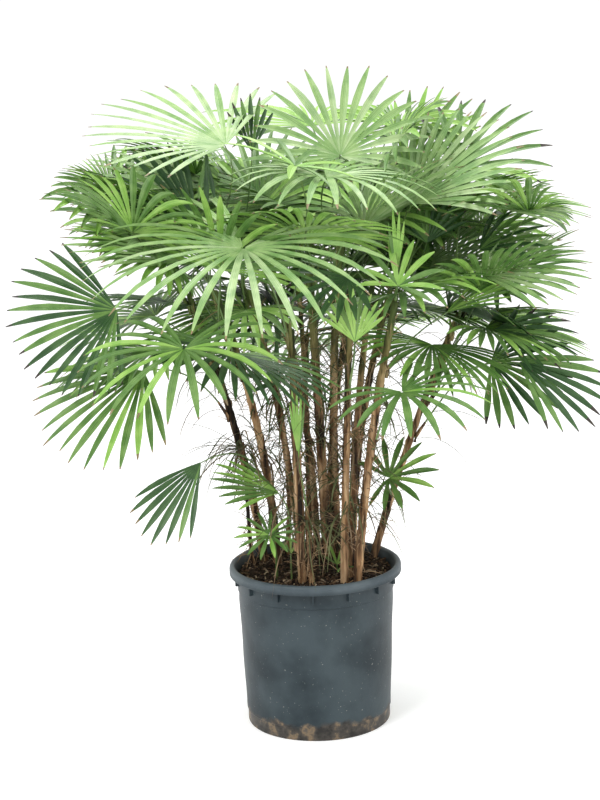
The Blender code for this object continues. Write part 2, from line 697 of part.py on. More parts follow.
def place_petioles(tufts, solids):
    """Gives each frond's hub and petiole a free place, or leaves the frond out."""
    for tuft in tufts:
        solids.add(tuft, *tuft.sheath)
    for tuft in tufts:
        placed = []
        for order, frond in enumerate(tuft.fronds):
            wanted = frond.hub.copy()
            for nudge in NUDGES:
                frond.hub = wanted + Vector(nudge)
                root = tuft.petiole_root(order)
                frond.lay_petiole(root, tuft.heading + tuft.outward * PETIOLE_LEAN)
                stem = frond.petiole_solid(margin=LEAF_GAP)
                own = (tuft, *tuft.fronds)
                if solids.touches(*stem, but=own) or solids.touches(*frond.hub_solid(), but=own):
                    continue
                placed.append(frond)
                solids.add(frond, *frond.petiole_solid())
                solids.add(frond, *frond.hub_solid())
                break
        tuft.fronds = placed


def fit_leaflets(tufts, solids, rounded):
    """Shortens or drops each leaflet that would touch another piece or leave the crown."""
    for tuft in tufts:
        for frond in tuft.fronds:
            for index in range(frond.count):
                frond.shares[index] = 0
                for share in SHORTENED:
                    if tuft.name in rounded and not within_crown(point_along(frond.line(index), share)):
                        continue
                    probe = frond.leaflet_probe(index, share)
                    if solids.touches(*probe, but=(frond,)):
                        continue
                    frond.shares[index] = share
                    solids.add(frond, *probe)
                    break


def build_tuft(tuft, material):
    parts = [make_object(tuft.name + "_sheath", *tuft.sheath, material)]
    for number, frond in enumerate(tuft.fronds):
        parts.append(make_object(f"{tuft.name}_petiole_{number}", *frond.petiole_solid(), material))
        parts.append(make_object(f"{tuft.name}_blade_{number}", *frond.blade_solid(), material))
    return join_solids(tuft.name, parts, material)


def build_plant():
    for thing in list(bpy.data.objects):
        bpy.data.objects.remove(thing, do_unlink=True)
    pot_plastic = make_material("pot_plastic", (0.065, 0.085, 0.095), 0.55)
    peat = make_material("peat", (0.035, 0.024, 0.016), 0.95)
    cane_fibre = make_material("cane_fibre", (0.19, 0.12, 0.065), 0.85)
    leaf_green = make_material("leaf_green", (0.10, 0.24, 0.07), 0.45)
    solids = Solids()
    build_pot(pot_plastic)
    build_soil(peat)
    cane_trees = {}
    for name in CANES:
        points, faces = cane_solid(name)
        make_object(name, points, faces, cane_fibre)
        cane_trees[name] = BVHTree.FromPolygons(points, faces)
        solids.add(name, points, faces)
    tufts = plan_tufts(cane_trees)
    place_petioles(tufts, solids)
    inner = {tuft.name for tuft in tufts} - set(TUFTS) - set(SUCKERS)
    fit_leaflets(tufts, solids, inner)
    for tuft in tufts:
        build_tuft(tuft, leaf_green)


build_plant()
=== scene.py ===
import json
import math
import random

import bmesh
import bpy
from mathutils import Matrix, Vector, noise


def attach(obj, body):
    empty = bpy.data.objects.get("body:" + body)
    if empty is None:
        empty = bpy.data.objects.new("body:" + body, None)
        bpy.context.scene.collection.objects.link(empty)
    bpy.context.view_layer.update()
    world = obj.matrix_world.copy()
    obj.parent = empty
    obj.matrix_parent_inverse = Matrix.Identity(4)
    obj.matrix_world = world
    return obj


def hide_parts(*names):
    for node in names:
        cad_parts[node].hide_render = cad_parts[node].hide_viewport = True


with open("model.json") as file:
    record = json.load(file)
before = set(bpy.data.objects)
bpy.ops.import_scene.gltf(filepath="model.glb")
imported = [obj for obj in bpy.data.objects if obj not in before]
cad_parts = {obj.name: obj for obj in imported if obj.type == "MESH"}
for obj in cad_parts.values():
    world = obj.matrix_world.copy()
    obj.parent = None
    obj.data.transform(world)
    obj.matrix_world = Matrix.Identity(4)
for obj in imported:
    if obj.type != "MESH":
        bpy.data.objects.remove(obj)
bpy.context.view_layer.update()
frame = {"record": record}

bpy.ops.object.select_all(action="DESELECT")

# The pot: one round moulded shell of dark grey plastic with a rounded lip, a step line where its fins end and
# a foot band. It is drawn up from its foot ring by ring, over the lip and down inside to its floor. Its wall
# is cloudy and dusty, with a crust of dried soil round the foot. Its rim and lip are painted lighter, a
# painted highlight along the top of the rim.
POT_HEIGHT = 0.424
POT_SIDES = 144
FOOT_RADIUS = 0.188
FOOT_BAND = 0.036
WALL = 0.0045
WALL_FOOT_RADIUS = 0.1905
WALL_TOP_RADIUS = 0.2045
WALL_STEPS = 12
WALL_WAVE = 0.0006
SKIRT = POT_HEIGHT - 0.066
SKIRT_LEDGE = 0.002
SKIRT_INSET = 0.0012
UNDER_RIM = POT_HEIGHT - 0.026
RIM_RADIUS = 0.225
RIM_FACE_FOOT = 0.003
RIM_FACE = 0.0125
RIM_STEPS = 8
RIM_GROOVE = 0.0007
LIP_HALF = 0.0085
LIP_FOOT = 0.0155
LIP_RISE = 0.0105
LIP_STEPS = 8
INSIDE_MIDDLE = 0.2
INSIDE_FLOOR = 0.008
CRUST_TOP = 0.080
CRUST_BREAKUP = -0.9


def wall_radius(height):
    """The wall's outer radius, which widens evenly from the foot band to the rim."""
    share = (height - FOOT_BAND) / (UNDER_RIM - FOOT_BAND)
    return WALL_FOOT_RADIUS + (WALL_TOP_RADIUS - WALL_FOOT_RADIUS) * share


def pot_rings():
    """Each ring's radius and height, up the foot, wall, rim and lip and down the inside."""
    rings = [
        (FOOT_RADIUS - 0.003, 0),
        (FOOT_RADIUS - 0.0008, 0.0008),
        (FOOT_RADIUS, 0.003),
        (FOOT_RADIUS, 0.032),
        (FOOT_RADIUS + 0.001, 0.0345),
        (WALL_FOOT_RADIUS, FOOT_BAND),
    ]
    for step in range(1, WALL_STEPS):
        height = FOOT_BAND + (SKIRT - SKIRT_LEDGE - FOOT_BAND) * step / WALL_STEPS
        rings.append((wall_radius(height) - WALL_WAVE * math.sin(step), height))
    rings += [
        (wall_radius(SKIRT) - SKIRT_INSET, SKIRT - SKIRT_LEDGE),
        (WALL_TOP_RADIUS, SKIRT),
        (WALL_TOP_RADIUS, UNDER_RIM),
        (RIM_RADIUS - 0.004, UNDER_RIM),
        (RIM_RADIUS - 0.001, UNDER_RIM + 0.001),
    ]
    for step in range(RIM_STEPS + 1):
        height = UNDER_RIM + RIM_FACE_FOOT + RIM_FACE * step / RIM_STEPS
        rings.append((RIM_RADIUS - (RIM_GROOVE if step % 2 else 0), height))
    for step in range(1, LIP_STEPS + 1):
        angle = math.radians(180 * step / LIP_STEPS)
        middle = RIM_RADIUS - LIP_HALF
        rings.append((middle + LIP_HALF * math.cos(angle), UNDER_RIM + LIP_FOOT + LIP_RISE * math.sin(angle)))
    rings += [
        (wall_radius(UNDER_RIM) - WALL, UNDER_RIM),
        (wall_radius(INSIDE_MIDDLE) - WALL, INSIDE_MIDDLE),
        (WALL_FOOT_RADIUS - WALL, INSIDE_FLOOR),
    ]
    return rings


rings = pot_rings()
bpy.ops.mesh.primitive_circle_add(vertices=POT_SIDES, radius=rings[0][0], location=(0, 0, rings[0][1]))
pot = bpy.context.object
pot.name = "pot_moulded"
bpy.ops.object.mode_set(mode="EDIT")
for (before, low), (after, high) in zip(rings, rings[1:]):
    bpy.ops.mesh.extrude_region_move(TRANSFORM_OT_translate={"value": (0, 0, high - low)})
    bpy.ops.transform.resize(value=(after / before, after / before, 1))
bpy.ops.mesh.edge_face_add()
bpy.ops.mesh.select_all(action="DESELECT")
bpy.ops.mesh.select_non_manifold()
bpy.ops.mesh.edge_face_add()
bpy.ops.mesh.select_all(action="SELECT")
bpy.ops.mesh.normals_make_consistent(inside=False)
bpy.ops.object.mode_set(mode="OBJECT")
bpy.ops.object.transform_apply(location=True, rotation=True, scale=True)
bpy.ops.object.shade_smooth_by_angle(angle=math.radians(32))


def node(tree, kind, **settings):
    """A shader node with its inputs or its own settings filled in."""
    made = tree.nodes.new(kind)
    for key, value in settings.items():
        if key in made.inputs:
            made.inputs[key].default_value = value
        else:
            setattr(made, key, value)
    return made


def ramp(tree, source, *stops):
    """Colours laid out along a value, from (place, colour) pairs."""
    made = tree.nodes.new("ShaderNodeValToRGB")
    elements = made.color_ramp.elements
    for element, (place, colour) in zip((elements[0], elements[1]), (stops[0], stops[-1])):
        element.position = place
        element.color = (*colour, 1)
    for place, colour in stops[1:-1]:
        elements.new(place).color = (*colour, 1)
    tree.links.new(source, made.inputs["Fac"])
    return made.outputs["Color"]


def speckle(tree, place, scale, detail=5.0, stretch=(1, 1, 1)):
    """Noise on the object's own coordinates, stretched along an axis where asked."""
    mapping = node(tree, "ShaderNodeMapping", Scale=stretch)
    tree.links.new(place, mapping.inputs["Vector"])
    made = node(tree, "ShaderNodeTexNoise", Scale=scale, Detail=detail)
    tree.links.new(mapping.outputs["Vector"], made.inputs["Vector"])
    return made.outputs["Fac"]


def blend_colours(tree, share, low, high):
    """One colour where the share is 0 and the other where it is 1."""
    made = node(tree, "ShaderNodeMix", data_type="RGBA")
    tree.links.new(share, made.inputs[0])
    tree.links.new(low, made.inputs[6])
    tree.links.new(high, made.inputs[7])
    return made.outputs[2]


def scaled_sum(tree, value, factor, added):
    """A value times a factor, plus a second value."""
    made = node(tree, "ShaderNodeMath", operation="MULTIPLY_ADD")
    tree.links.new(value, made.inputs[0])
    made.inputs[1].default_value = factor
    tree.links.new(added, made.inputs[2])
    return made.outputs[0]


def height_share(tree, place, low, high):
    """0 below one height and 1 above another."""
    parts = node(tree, "ShaderNodeSeparateXYZ")
    tree.links.new(place, parts.inputs[0])
    made = node(tree, "ShaderNodeMapRange")
    made.inputs["From Min"].default_value = low
    made.inputs["From Max"].default_value = high
    tree.links.new(parts.outputs["Z"], made.inputs["Value"])
    return made.outputs["Result"]


def bumped(tree, height, strength, distance):
    """The finish's fine relief, from a value that stands for its height."""
    made = node(tree, "ShaderNodeBump", Strength=strength, Distance=distance)
    tree.links.new(height, made.inputs["Height"])
    tree.links.new(made.outputs["Normal"], tree.nodes["Principled BSDF"].inputs["Normal"])


def new_material(name, roughness, specular=0.5):
    """A material with its node tree, its shader and the object's own coordinates."""
    material = bpy.data.materials.new(name)
    material.use_nodes = True
    shader = material.node_tree.nodes["Principled BSDF"]
    shader.inputs["Roughness"].default_value = roughness
    shader.inputs["Specular IOR Level"].default_value = specular
    place = material.node_tree.nodes.new("ShaderNodeTexCoord").outputs["Object"]
    return material, material.node_tree, shader, place


plastic, tree, shader, place = new_material("dark_pot_plastic", roughness=0.48, specular=0.32)
cloudy = speckle(tree, place, scale=7.0, detail=8.0)
streaks = speckle(tree, place, scale=14.0, detail=6.0, stretch=(1, 1, 0.12))
slate = ramp(tree, cloudy, (0.38, (0.006, 0.015, 0.021)), (0.62, (0.026, 0.042, 0.052)))
worn_slate = ramp(tree, cloudy, (0.38, (0.014, 0.025, 0.031)), (0.62, (0.046, 0.065, 0.072)))
wall_colour = blend_colours(tree, streaks, slate, worn_slate)
specks = ramp(tree, speckle(tree, place, scale=170.0, detail=2.0), (0.70, (0, 0, 0)), (0.76, (1, 1, 1)))
dust = ramp(tree, cloudy, (0.0, (0.16, 0.17, 0.16)), (1.0, (0.26, 0.27, 0.25)))
dusty_wall = blend_colours(tree, specks, wall_colour, dust)
# The rim and lip: the same plastic painted lighter, a painted highlight where the top of the rim catches the
# light.
rim_painted_highlight = ramp(tree, cloudy, (0.38, (0.048, 0.066, 0.078)), (0.62, (0.100, 0.125, 0.138)))
rim_highlight_mask = height_share(tree, place, low=UNDER_RIM - 0.001, high=UNDER_RIM + 0.012)
wall_and_rim_highlight = blend_colours(tree, rim_highlight_mask, dusty_wall, rim_painted_highlight)
crust = ramp(
    tree, speckle(tree, place, scale=46.0, detail=9.0),
    (0.34, (0.018, 0.016, 0.014)), (0.52, (0.055, 0.048, 0.040)),
    (0.64, (0.19, 0.135, 0.08)), (0.75, (0.09, 0.075, 0.06)))
crust_edge = speckle(tree, place, scale=21.0, detail=6.0)
above_crust = scaled_sum(tree, crust_edge, CRUST_BREAKUP, height_share(tree, place, low=0.0, high=CRUST_TOP))
clean = ramp(tree, above_crust, (0.00, (0, 0, 0)), (0.16, (1, 1, 1)))
tree.links.new(blend_colours(tree, clean, crust, wall_and_rim_highlight), shader.inputs["Base Color"])
bumped(tree, speckle(tree, place, scale=60.0, detail=8.0), strength=0.25, distance=0.002)
pot.data.materials.append(plastic)
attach(pot, "root")
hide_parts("pot")

# The fins: short square ribs of the same plastic, moulded under the rim, which they hold up all round. One is
# modelled with rounded edges and copied round the wall.
FIN_COUNT = 14
FIN_SIZE = (0.0100, 0.0060, 0.0250)
FIN_OUT = 0.0036
FIN_DROP = 0.0120
FIN_EDGE = 0.0009
FIRST_FIN = 0.4
bpy.ops.mesh.primitive_cube_add(
    size=1, location=(WALL_TOP_RADIUS + FIN_OUT, 0, UNDER_RIM - FIN_DROP), scale=FIN_SIZE)
fin = bpy.context.object
bpy.ops.object.transform_apply(location=True, rotation=True, scale=True)
bpy.ops.object.mode_set(mode="EDIT")
bpy.ops.mesh.select_all(action="SELECT")
bpy.ops.mesh.bevel(offset=FIN_EDGE, segments=2, affect="EDGES")
bpy.ops.object.mode_set(mode="OBJECT")
fin_copies = []
for number in range(FIN_COUNT):
    copy = fin.copy()
    copy.data = fin.data.copy()
    copy.data.transform(Matrix.Rotation(math.tau * (number + FIRST_FIN) / FIN_COUNT, 4, "Z"))
    bpy.context.scene.collection.objects.link(copy)
    fin_copies.append(copy)
bpy.data.objects.remove(fin, do_unlink=True)
bpy.ops.object.select_all(action="DESELECT")
for copy in fin_copies:
    copy.select_set(True)
bpy.context.view_layer.objects.active = fin_copies[0]
bpy.ops.object.join()
fins = bpy.context.object
fins.name = "pot_fins"
fins.data.materials.clear()
fins.data.materials.append(plastic)
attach(fins, "root")

# The soil: coarse moist bark and peat that fills the pot to just under its rim. Its top is an uneven crumbly
# bed, drawn in by insets from the wall and heaved up and down.
SOIL_TOP = 0.400
SOIL_DEPTH = 0.060
SOIL_SIDES = 120
SOIL_RADIUS = wall_radius(SOIL_TOP) - WALL - 0.0006
SOIL_INSETS = 34
INSET_WIDTH = SOIL_RADIUS / 36
LUMP_SCALE = 45
LUMP_HEIGHT = 0.0045
CRUMB_SCALE = 150
CRUMB_HEIGHT = 0.003
SOIL_SINK = 0.001
STILL_EDGE = 0.002
bpy.ops.mesh.primitive_cylinder_add(
    vertices=SOIL_SIDES, radius=SOIL_RADIUS, depth=SOIL_DEPTH, location=(0, 0, SOIL_TOP - SOIL_DEPTH / 2))
soil = bpy.context.object
soil.name = "soil_bed"
bpy.ops.object.transform_apply(location=True, rotation=True, scale=True)
bpy.ops.object.mode_set(mode="EDIT")
bpy.ops.mesh.select_mode(type="FACE")
bpy.ops.mesh.select_all(action="DESELECT")
bed = bmesh.from_edit_mesh(soil.data)
for face in bed.faces:
    face.select = face.normal.z > 0.9
bmesh.update_edit_mesh(soil.data)
for _ in range(SOIL_INSETS):
    bpy.ops.mesh.inset(thickness=INSET_WIDTH, depth=0)
bpy.ops.object.mode_set(mode="OBJECT")
for vertex in soil.data.vertices:
    if vertex.co.z > SOIL_TOP - 0.001 and vertex.co.xy.length < SOIL_RADIUS - STILL_EDGE:
        lump = noise.noise(vertex.co * LUMP_SCALE) * LUMP_HEIGHT
        crumb = noise.noise(vertex.co * CRUMB_SCALE) * CRUMB_HEIGHT
        vertex.co.z += lump + crumb - SOIL_SINK
bpy.ops.object.shade_smooth_by_angle(angle=math.radians(40))
peat, tree, shader, place = new_material("bark_and_peat", roughness=0.95, specular=0.25)
grain = speckle(tree, place, scale=95.0, detail=9.0)
peat_colour = ramp(
    tree, grain, (0.36, (0.012, 0.008, 0.005)), (0.52, (0.045, 0.028, 0.017)),
    (0.62, (0.12, 0.075, 0.042)), (0.72, (0.26, 0.17, 0.10)))
tree.links.new(peat_colour, shader.inputs["Base Color"])
bumped(tree, grain, strength=0.9, distance=0.006)
soil.data.materials.append(peat)
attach(soil, "root")
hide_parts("soil")

# The chips: loose flat splinters of dark and brown bark and of tan fibre, which lie at all angles on the
# soil. Each is a six-sided sliver, narrower at its ends, and each kind is one mesh.
CHIP_KINDS = {
    "chips_dark": (900, 11, (0.030, 0.019, 0.012)),
    "chips_brown": (420, 12, (0.10, 0.060, 0.034)),
    "chips_tan": (190, 13, (0.29, 0.22, 0.15)),
}
CHIP_SPREAD = 0.97
HALF_LENGTHS = (0.004, 0.013)
HALF_WIDTHS = (0.0015, 0.004)
HALF_THICKNESSES = (0.0008, 0.0022)
CHIP_TILT = 0.7
CHIP_LIFTS = (-0.001, 0.004)
END_WIDTHS = (0.35, 1)
CHIP_CORNERS = ((-1, -1), (1, -1), (1, 1), (-1, 1))
CHIP_FACES = ((0, 1, 2, 3), (4, 5, 6, 7), (0, 1, 5, 4), (1, 2, 6, 5), (2, 3, 7, 6), (3, 0, 4, 7))


def shown_piece(name, points, faces, material, uvs=None, crease=35):
    """One joined mesh of many closed shells, finished and put on the plant."""
    mesh = bpy.data.meshes.new(name)
    mesh.from_pydata(points, [], faces)
    if uvs:
        layer = mesh.uv_layers.new(name="leaf_uv")
        flat = [value for loop in mesh.loops for value in uvs[loop.vertex_index]]
        layer.data.foreach_set("uv", flat)
    turned = bmesh.new()
    turned.from_mesh(mesh)
    bmesh.ops.recalc_face_normals(turned, faces=turned.faces)
    turned.to_mesh(mesh)
    turned.free()
    mesh.materials.append(material)
    thing = bpy.data.objects.new(name, mesh)
    bpy.context.scene.collection.objects.link(thing)
    bpy.ops.object.select_all(action="DESELECT")
    thing.select_set(True)
    bpy.context.view_layer.objects.active = thing
    bpy.ops.object.shade_smooth_by_angle(angle=math.radians(crease))
    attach(thing, "root")
    return thing


def shaded(tree, tone, colour, dark, light):
    """One colour, from a darker to a lighter shade of it along a value."""
    deep = tuple(channel * dark for channel in colour)
    bright = tuple(channel * light for channel in colour)
    return ramp(tree, tone, (0.3, deep), (0.7, bright))


for name, (count, seed, colour) in CHIP_KINDS.items():
    dice = random.Random(seed)
    points, faces = [], []
    for _ in range(count):
        reach = SOIL_RADIUS * CHIP_SPREAD * math.sqrt(dice.random())
        way = dice.uniform(0, math.tau)
        length = dice.uniform(*HALF_LENGTHS)
        width = dice.uniform(*HALF_WIDTHS)
        thickness = dice.uniform(*HALF_THICKNESSES)
        turn = Matrix.Rotation(dice.uniform(0, math.tau), 3, "Z")
        turn = turn @ Matrix.Rotation(dice.uniform(-CHIP_TILT, CHIP_TILT), 3, "Y")
        lift = dice.uniform(*CHIP_LIFTS)
        middle = Vector((reach * math.cos(way), reach * math.sin(way), SOIL_TOP + lift))
        first = len(points)
        for end in (-1, 1):
            narrow = dice.uniform(*END_WIDTHS)
            for side, top in CHIP_CORNERS:
                corner = Vector((end * length, side * width * narrow, top * thickness))
                points.append(middle + turn @ corner)
        for face in CHIP_FACES:
            faces.append(tuple(first + index for index in face))
    material, tree, shader, place = new_material(name, roughness=0.9, specular=0.2)
    tone = speckle(tree, place, scale=120.0)
    tree.links.new(shaded(tree, tone, colour, dark=0.5, light=1.4), shader.inputs["Base Color"])
    shown_piece(name, points, faces, material)

# The canes: slender stems wrapped in the woven brown fibre of old leaf bases, which overlap like scales,
# split into strips and turn green near the crown. Each row gives a cane's foot, a place half way up, its tip
# and its radius at the foot, and the cane is built ring by ring along the bow through those three places.
CANES = {
    "cane_front_left": ((-0.033, -0.111), (-0.039, -0.130, 0.715), (-0.045, -0.120, 1.060), 0.0125),
    "cane_front_shoot": ((-0.011, -0.122), (-0.015, -0.124, 0.490), (-0.018, -0.130, 0.590), 0.0075),
    "cane_middle": ((0.033, 0.100), (0.025, 0.075, 0.700), (0.005, 0.000, 1.200), 0.0140),
    "cane_middle_left": ((0.007, 0.128), (0.000, 0.140, 0.620), (-0.090, 0.220, 1.170), 0.0100),
    "cane_middle_right": ((0.064, 0.118), (0.059, 0.125, 0.700), (0.090, 0.110, 1.250), 0.0125),
    "cane_front_middle": ((0.072, -0.125), (0.087, -0.130, 0.780), (0.105, -0.150, 1.130), 0.0105),
    "cane_inner_right": ((0.094, -0.080), (0.106, -0.082, 0.700), (0.165, -0.010, 1.150), 0.0100),
    "cane_front_right": ((0.105, -0.133), (0.138, -0.146, 0.700), (0.212, -0.195, 1.130), 0.0120),
    "cane_right_leaning": ((0.155, 0.095), (0.228, 0.120, 0.620), (0.395, 0.125, 1.050), 0.0110),
    "cane_left": ((-0.100, 0.060), (-0.129, 0.035, 0.720), (-0.235, -0.030, 1.150), 0.0120),
    "cane_left_outer": ((-0.135, 0.100), (-0.185, 0.090, 0.700), (-0.300, 0.040, 1.120), 0.0115),
    "cane_dark_leaning": ((-0.037, 0.098), (-0.068, 0.100, 0.700), (-0.150, 0.100, 1.130), 0.0100),
    "cane_back_thin": ((-0.014, 0.165), (-0.010, 0.180, 0.620), (-0.020, 0.290, 1.080), 0.0085),
    "cane_back": ((0.047, 0.165), (0.055, 0.190, 0.680), (0.120, 0.330, 1.060), 0.0100),
    "cane_back_right": ((0.100, 0.025), (0.122, 0.060, 0.700), (0.235, 0.200, 1.150), 0.0110),
    "cane_thin_left": ((-0.165, 0.050), (-0.173, 0.050, 0.560), (-0.180, 0.040, 0.740), 0.0055),
    "cane_thin_back": ((-0.075, 0.150), (-0.064, 0.150, 0.580), (-0.110, 0.230, 0.950), 0.0070),
}
CANE_TAPER = 0.72
CANE_SINK = 0.006
RING_STEP = 0.0055
RING_SIDES = 22
BARK_LEAST = 0.93
SCALE_PITCH = 0.046
SCALE_SLANT = 0.55
SCALE_OFFSET = 0.37
SCALE_RELIEF = 0.15
STRIP_RELIEF = 0.16
STRIPS_ROUND = 2.2
STRIPS_ALONG = 9
STRIP_SHIFT = 7
THREAD_RELIEF = 0.09
THREADS_ROUND = 7
THREADS_ALONG = 30
THREAD_SHIFT = 3
GREEN_FROM = 0.86
GREEN_BY = 1.10


def cane_point(name, height):
    """Where a cane's middle is at a height: a smooth bow through its foot, its half-way point and its tip."""
    foot, half, tip = CANES[name][:3]
    heights = (SOIL_TOP, half[2], tip[2])
    places = ((foot[0], foot[1]), (half[0], half[1]), (tip[0], tip[1]))
    x = y = 0.0
    for this in range(3):
        weight = 1.0
        for other in range(3):
            if other != this:
                weight *= (height - heights[other]) / (heights[this] - heights[other])
        x += weight * places[this][0]
        y += weight * places[this][1]
    return Vector((x, y, height))


def cane_top(name):
    return CANES[name][2][2]


def cane_radius(name, height):
    """A cane's radius at a height, without its fibre's relief."""
    done = (height - SOIL_TOP) / (cane_top(name) - SOIL_TOP)
    return CANES[name][3] * (1 - (1 - CANE_TAPER) * done)


def bark_radius(name, order, height, angle):
    """The fibre's surface: scales that stand off at their upper edge, and strips that run along the cane."""
    x, y = math.cos(angle), math.sin(angle)
    climb = height / SCALE_PITCH + SCALE_SLANT * math.sin(angle + order) + order * SCALE_OFFSET
    scale = (climb % 1.0) ** 2
    strip_at = Vector((x * STRIPS_ROUND + order * STRIP_SHIFT, y * STRIPS_ROUND, height * STRIPS_ALONG))
    thread_at = Vector((x * THREADS_ROUND + order * THREAD_SHIFT, y * THREADS_ROUND, height * THREADS_ALONG))
    relief = BARK_LEAST + SCALE_RELIEF * scale
    relief += STRIP_RELIEF * noise.noise(strip_at)
    relief += THREAD_RELIEF * noise.noise(thread_at)
    return cane_radius(name, height) * relief


def skin(first, rings, sides, faces):
    """Faces round a run of rings of points, with both ends closed."""
    for step in range(rings - 1):
        ring = first + step * sides
        for side in range(sides):
            after = (side + 1) % sides
            faces.append((ring + side, ring + after, ring + sides + after, ring + sides + side))
    for end in (first, first + (rings - 1) * sides):
        faces.append(tuple(end + side for side in range(sides)))


points, faces = [], []
for order, name in enumerate(CANES):
    low = SOIL_TOP - CANE_SINK
    length = cane_top(name) - low
    steps = round(length / RING_STEP)
    first = len(points)
    for step in range(steps + 1):
        height = low + length * step / steps
        middle = cane_point(name, height)
        for side in range(RING_SIDES):
            angle = math.tau * side / RING_SIDES
            radius = bark_radius(name, order, height, angle)
            points.append(middle + Vector((math.cos(angle), math.sin(angle), 0)) * radius)
    skin(first, steps + 1, RING_SIDES, faces)
fibre, tree, shader, place = new_material("woven_cane_fibre", roughness=0.85, specular=0.25)
strips = speckle(tree, place, scale=60.0, detail=7.0, stretch=(1, 1, 0.07))
patches = speckle(tree, place, scale=9.0, detail=3.0, stretch=(1, 1, 0.6))
bare_patches = ramp(tree, patches, (0.42, (0, 0, 0)), (0.58, (1, 1, 1)))
dark_weave = ramp(
    tree, strips, (0.38, (0.014, 0.009, 0.006)), (0.48, (0.075, 0.043, 0.023)),
    (0.57, (0.26, 0.150, 0.078)), (0.68, (0.54, 0.35, 0.20)))
tan_weave = ramp(
    tree, strips, (0.37, (0.020, 0.012, 0.007)), (0.46, (0.19, 0.098, 0.044)),
    (0.57, (0.46, 0.29, 0.15)), (0.68, (0.70, 0.50, 0.31)))
weave = blend_colours(tree, bare_patches, dark_weave, tan_weave)
green_weave = ramp(
    tree, strips, (0.35, (0.035, 0.050, 0.015)), (0.6, (0.12, 0.17, 0.045)), (0.75, (0.30, 0.26, 0.12)))
towards_crown = height_share(tree, place, low=GREEN_FROM, high=GREEN_BY)
tree.links.new(blend_colours(tree, towards_crown, weave, green_weave), shader.inputs["Base Color"])
bumped(tree, strips, strength=0.8, distance=0.004)
canes = shown_piece("canes_with_fibre", points, faces, fibre, crease=60)
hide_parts(*CANES)

# The loose fibres: stiff tan and dark threads of the old leaf bases, torn free at one end, which stand off
# the canes and droop a little. Each is a fine four-sided solid that starts inside its cane's fibre.
THREADS = {
    "fibres_tan": (900, 21, (0.42, 0.28, 0.16)),
    "fibres_dark": (520, 22, (0.060, 0.040, 0.025)),
}
THREAD_LENGTHS = (0.015, 0.075)
THREAD_STEPS = 4
THREAD_HALVES = (0.0009, 0.0008, 0.0007, 0.0005, 0.0002)
THREAD_DEPTH = 0.85
THREAD_DROOP = 0.16
THREAD_OUT = (0.25, 0.9)
THREAD_UP = (-0.6, 1.1)
THREAD_SWAY = 0.15
LOWEST_THREAD = SOIL_TOP + 0.01
BELOW_TIP = 0.03
UP = Vector((0, 0, 1))


def thread_solid(path, widths, points, faces, flat=1.0):
    """A thin four-sided thread along a path; flat under 1 makes it a ribbon."""
    first = len(points)
    for index, middle in enumerate(path):
        ahead = (path[min(index + 1, len(path) - 1)] - path[max(index - 1, 0)]).normalized()
        level = ahead.cross(UP if abs(ahead.z) < 0.95 else Vector((1, 0, 0))).normalized()
        top = level.cross(ahead)
        for turn, size in ((level, 1), (top, flat), (-level, 1), (-top, flat)):
            points.append(middle + turn * widths[index] * size)
    skin(first, len(path), 4, faces)


for name, (count, seed, colour) in THREADS.items():
    dice = random.Random(seed)
    points, faces = [], []
    for _ in range(count):
        cane = dice.choice(list(CANES))
        height = dice.uniform(LOWEST_THREAD, cane_top(cane) - BELOW_TIP)
        way = dice.uniform(0, math.tau)
        out = Vector((math.cos(way), math.sin(way), 0))
        start = cane_point(cane, height) + out * cane_radius(cane, height) * THREAD_DEPTH
        length = dice.uniform(*THREAD_LENGTHS)
        heading = (out * dice.uniform(*THREAD_OUT) + UP * dice.uniform(*THREAD_UP)).normalized()
        path = [start]
        for step in range(THREAD_STEPS):
            sway = out * dice.uniform(-THREAD_SWAY, THREAD_SWAY)
            heading = (heading - UP * THREAD_DROOP + sway).normalized()
            path.append(path[-1] + heading * length / THREAD_STEPS)
        thread_solid(path, THREAD_HALVES, points, faces)
    material, tree, shader, place = new_material(name, roughness=0.9, specular=0.2)
    tone = speckle(tree, place, scale=60.0)
    tree.links.new(shaded(tree, tone, colour, dark=0.6, light=1.3), shader.inputs["Base Color"])
    shown_piece(name, points, faces, material, crease=60)

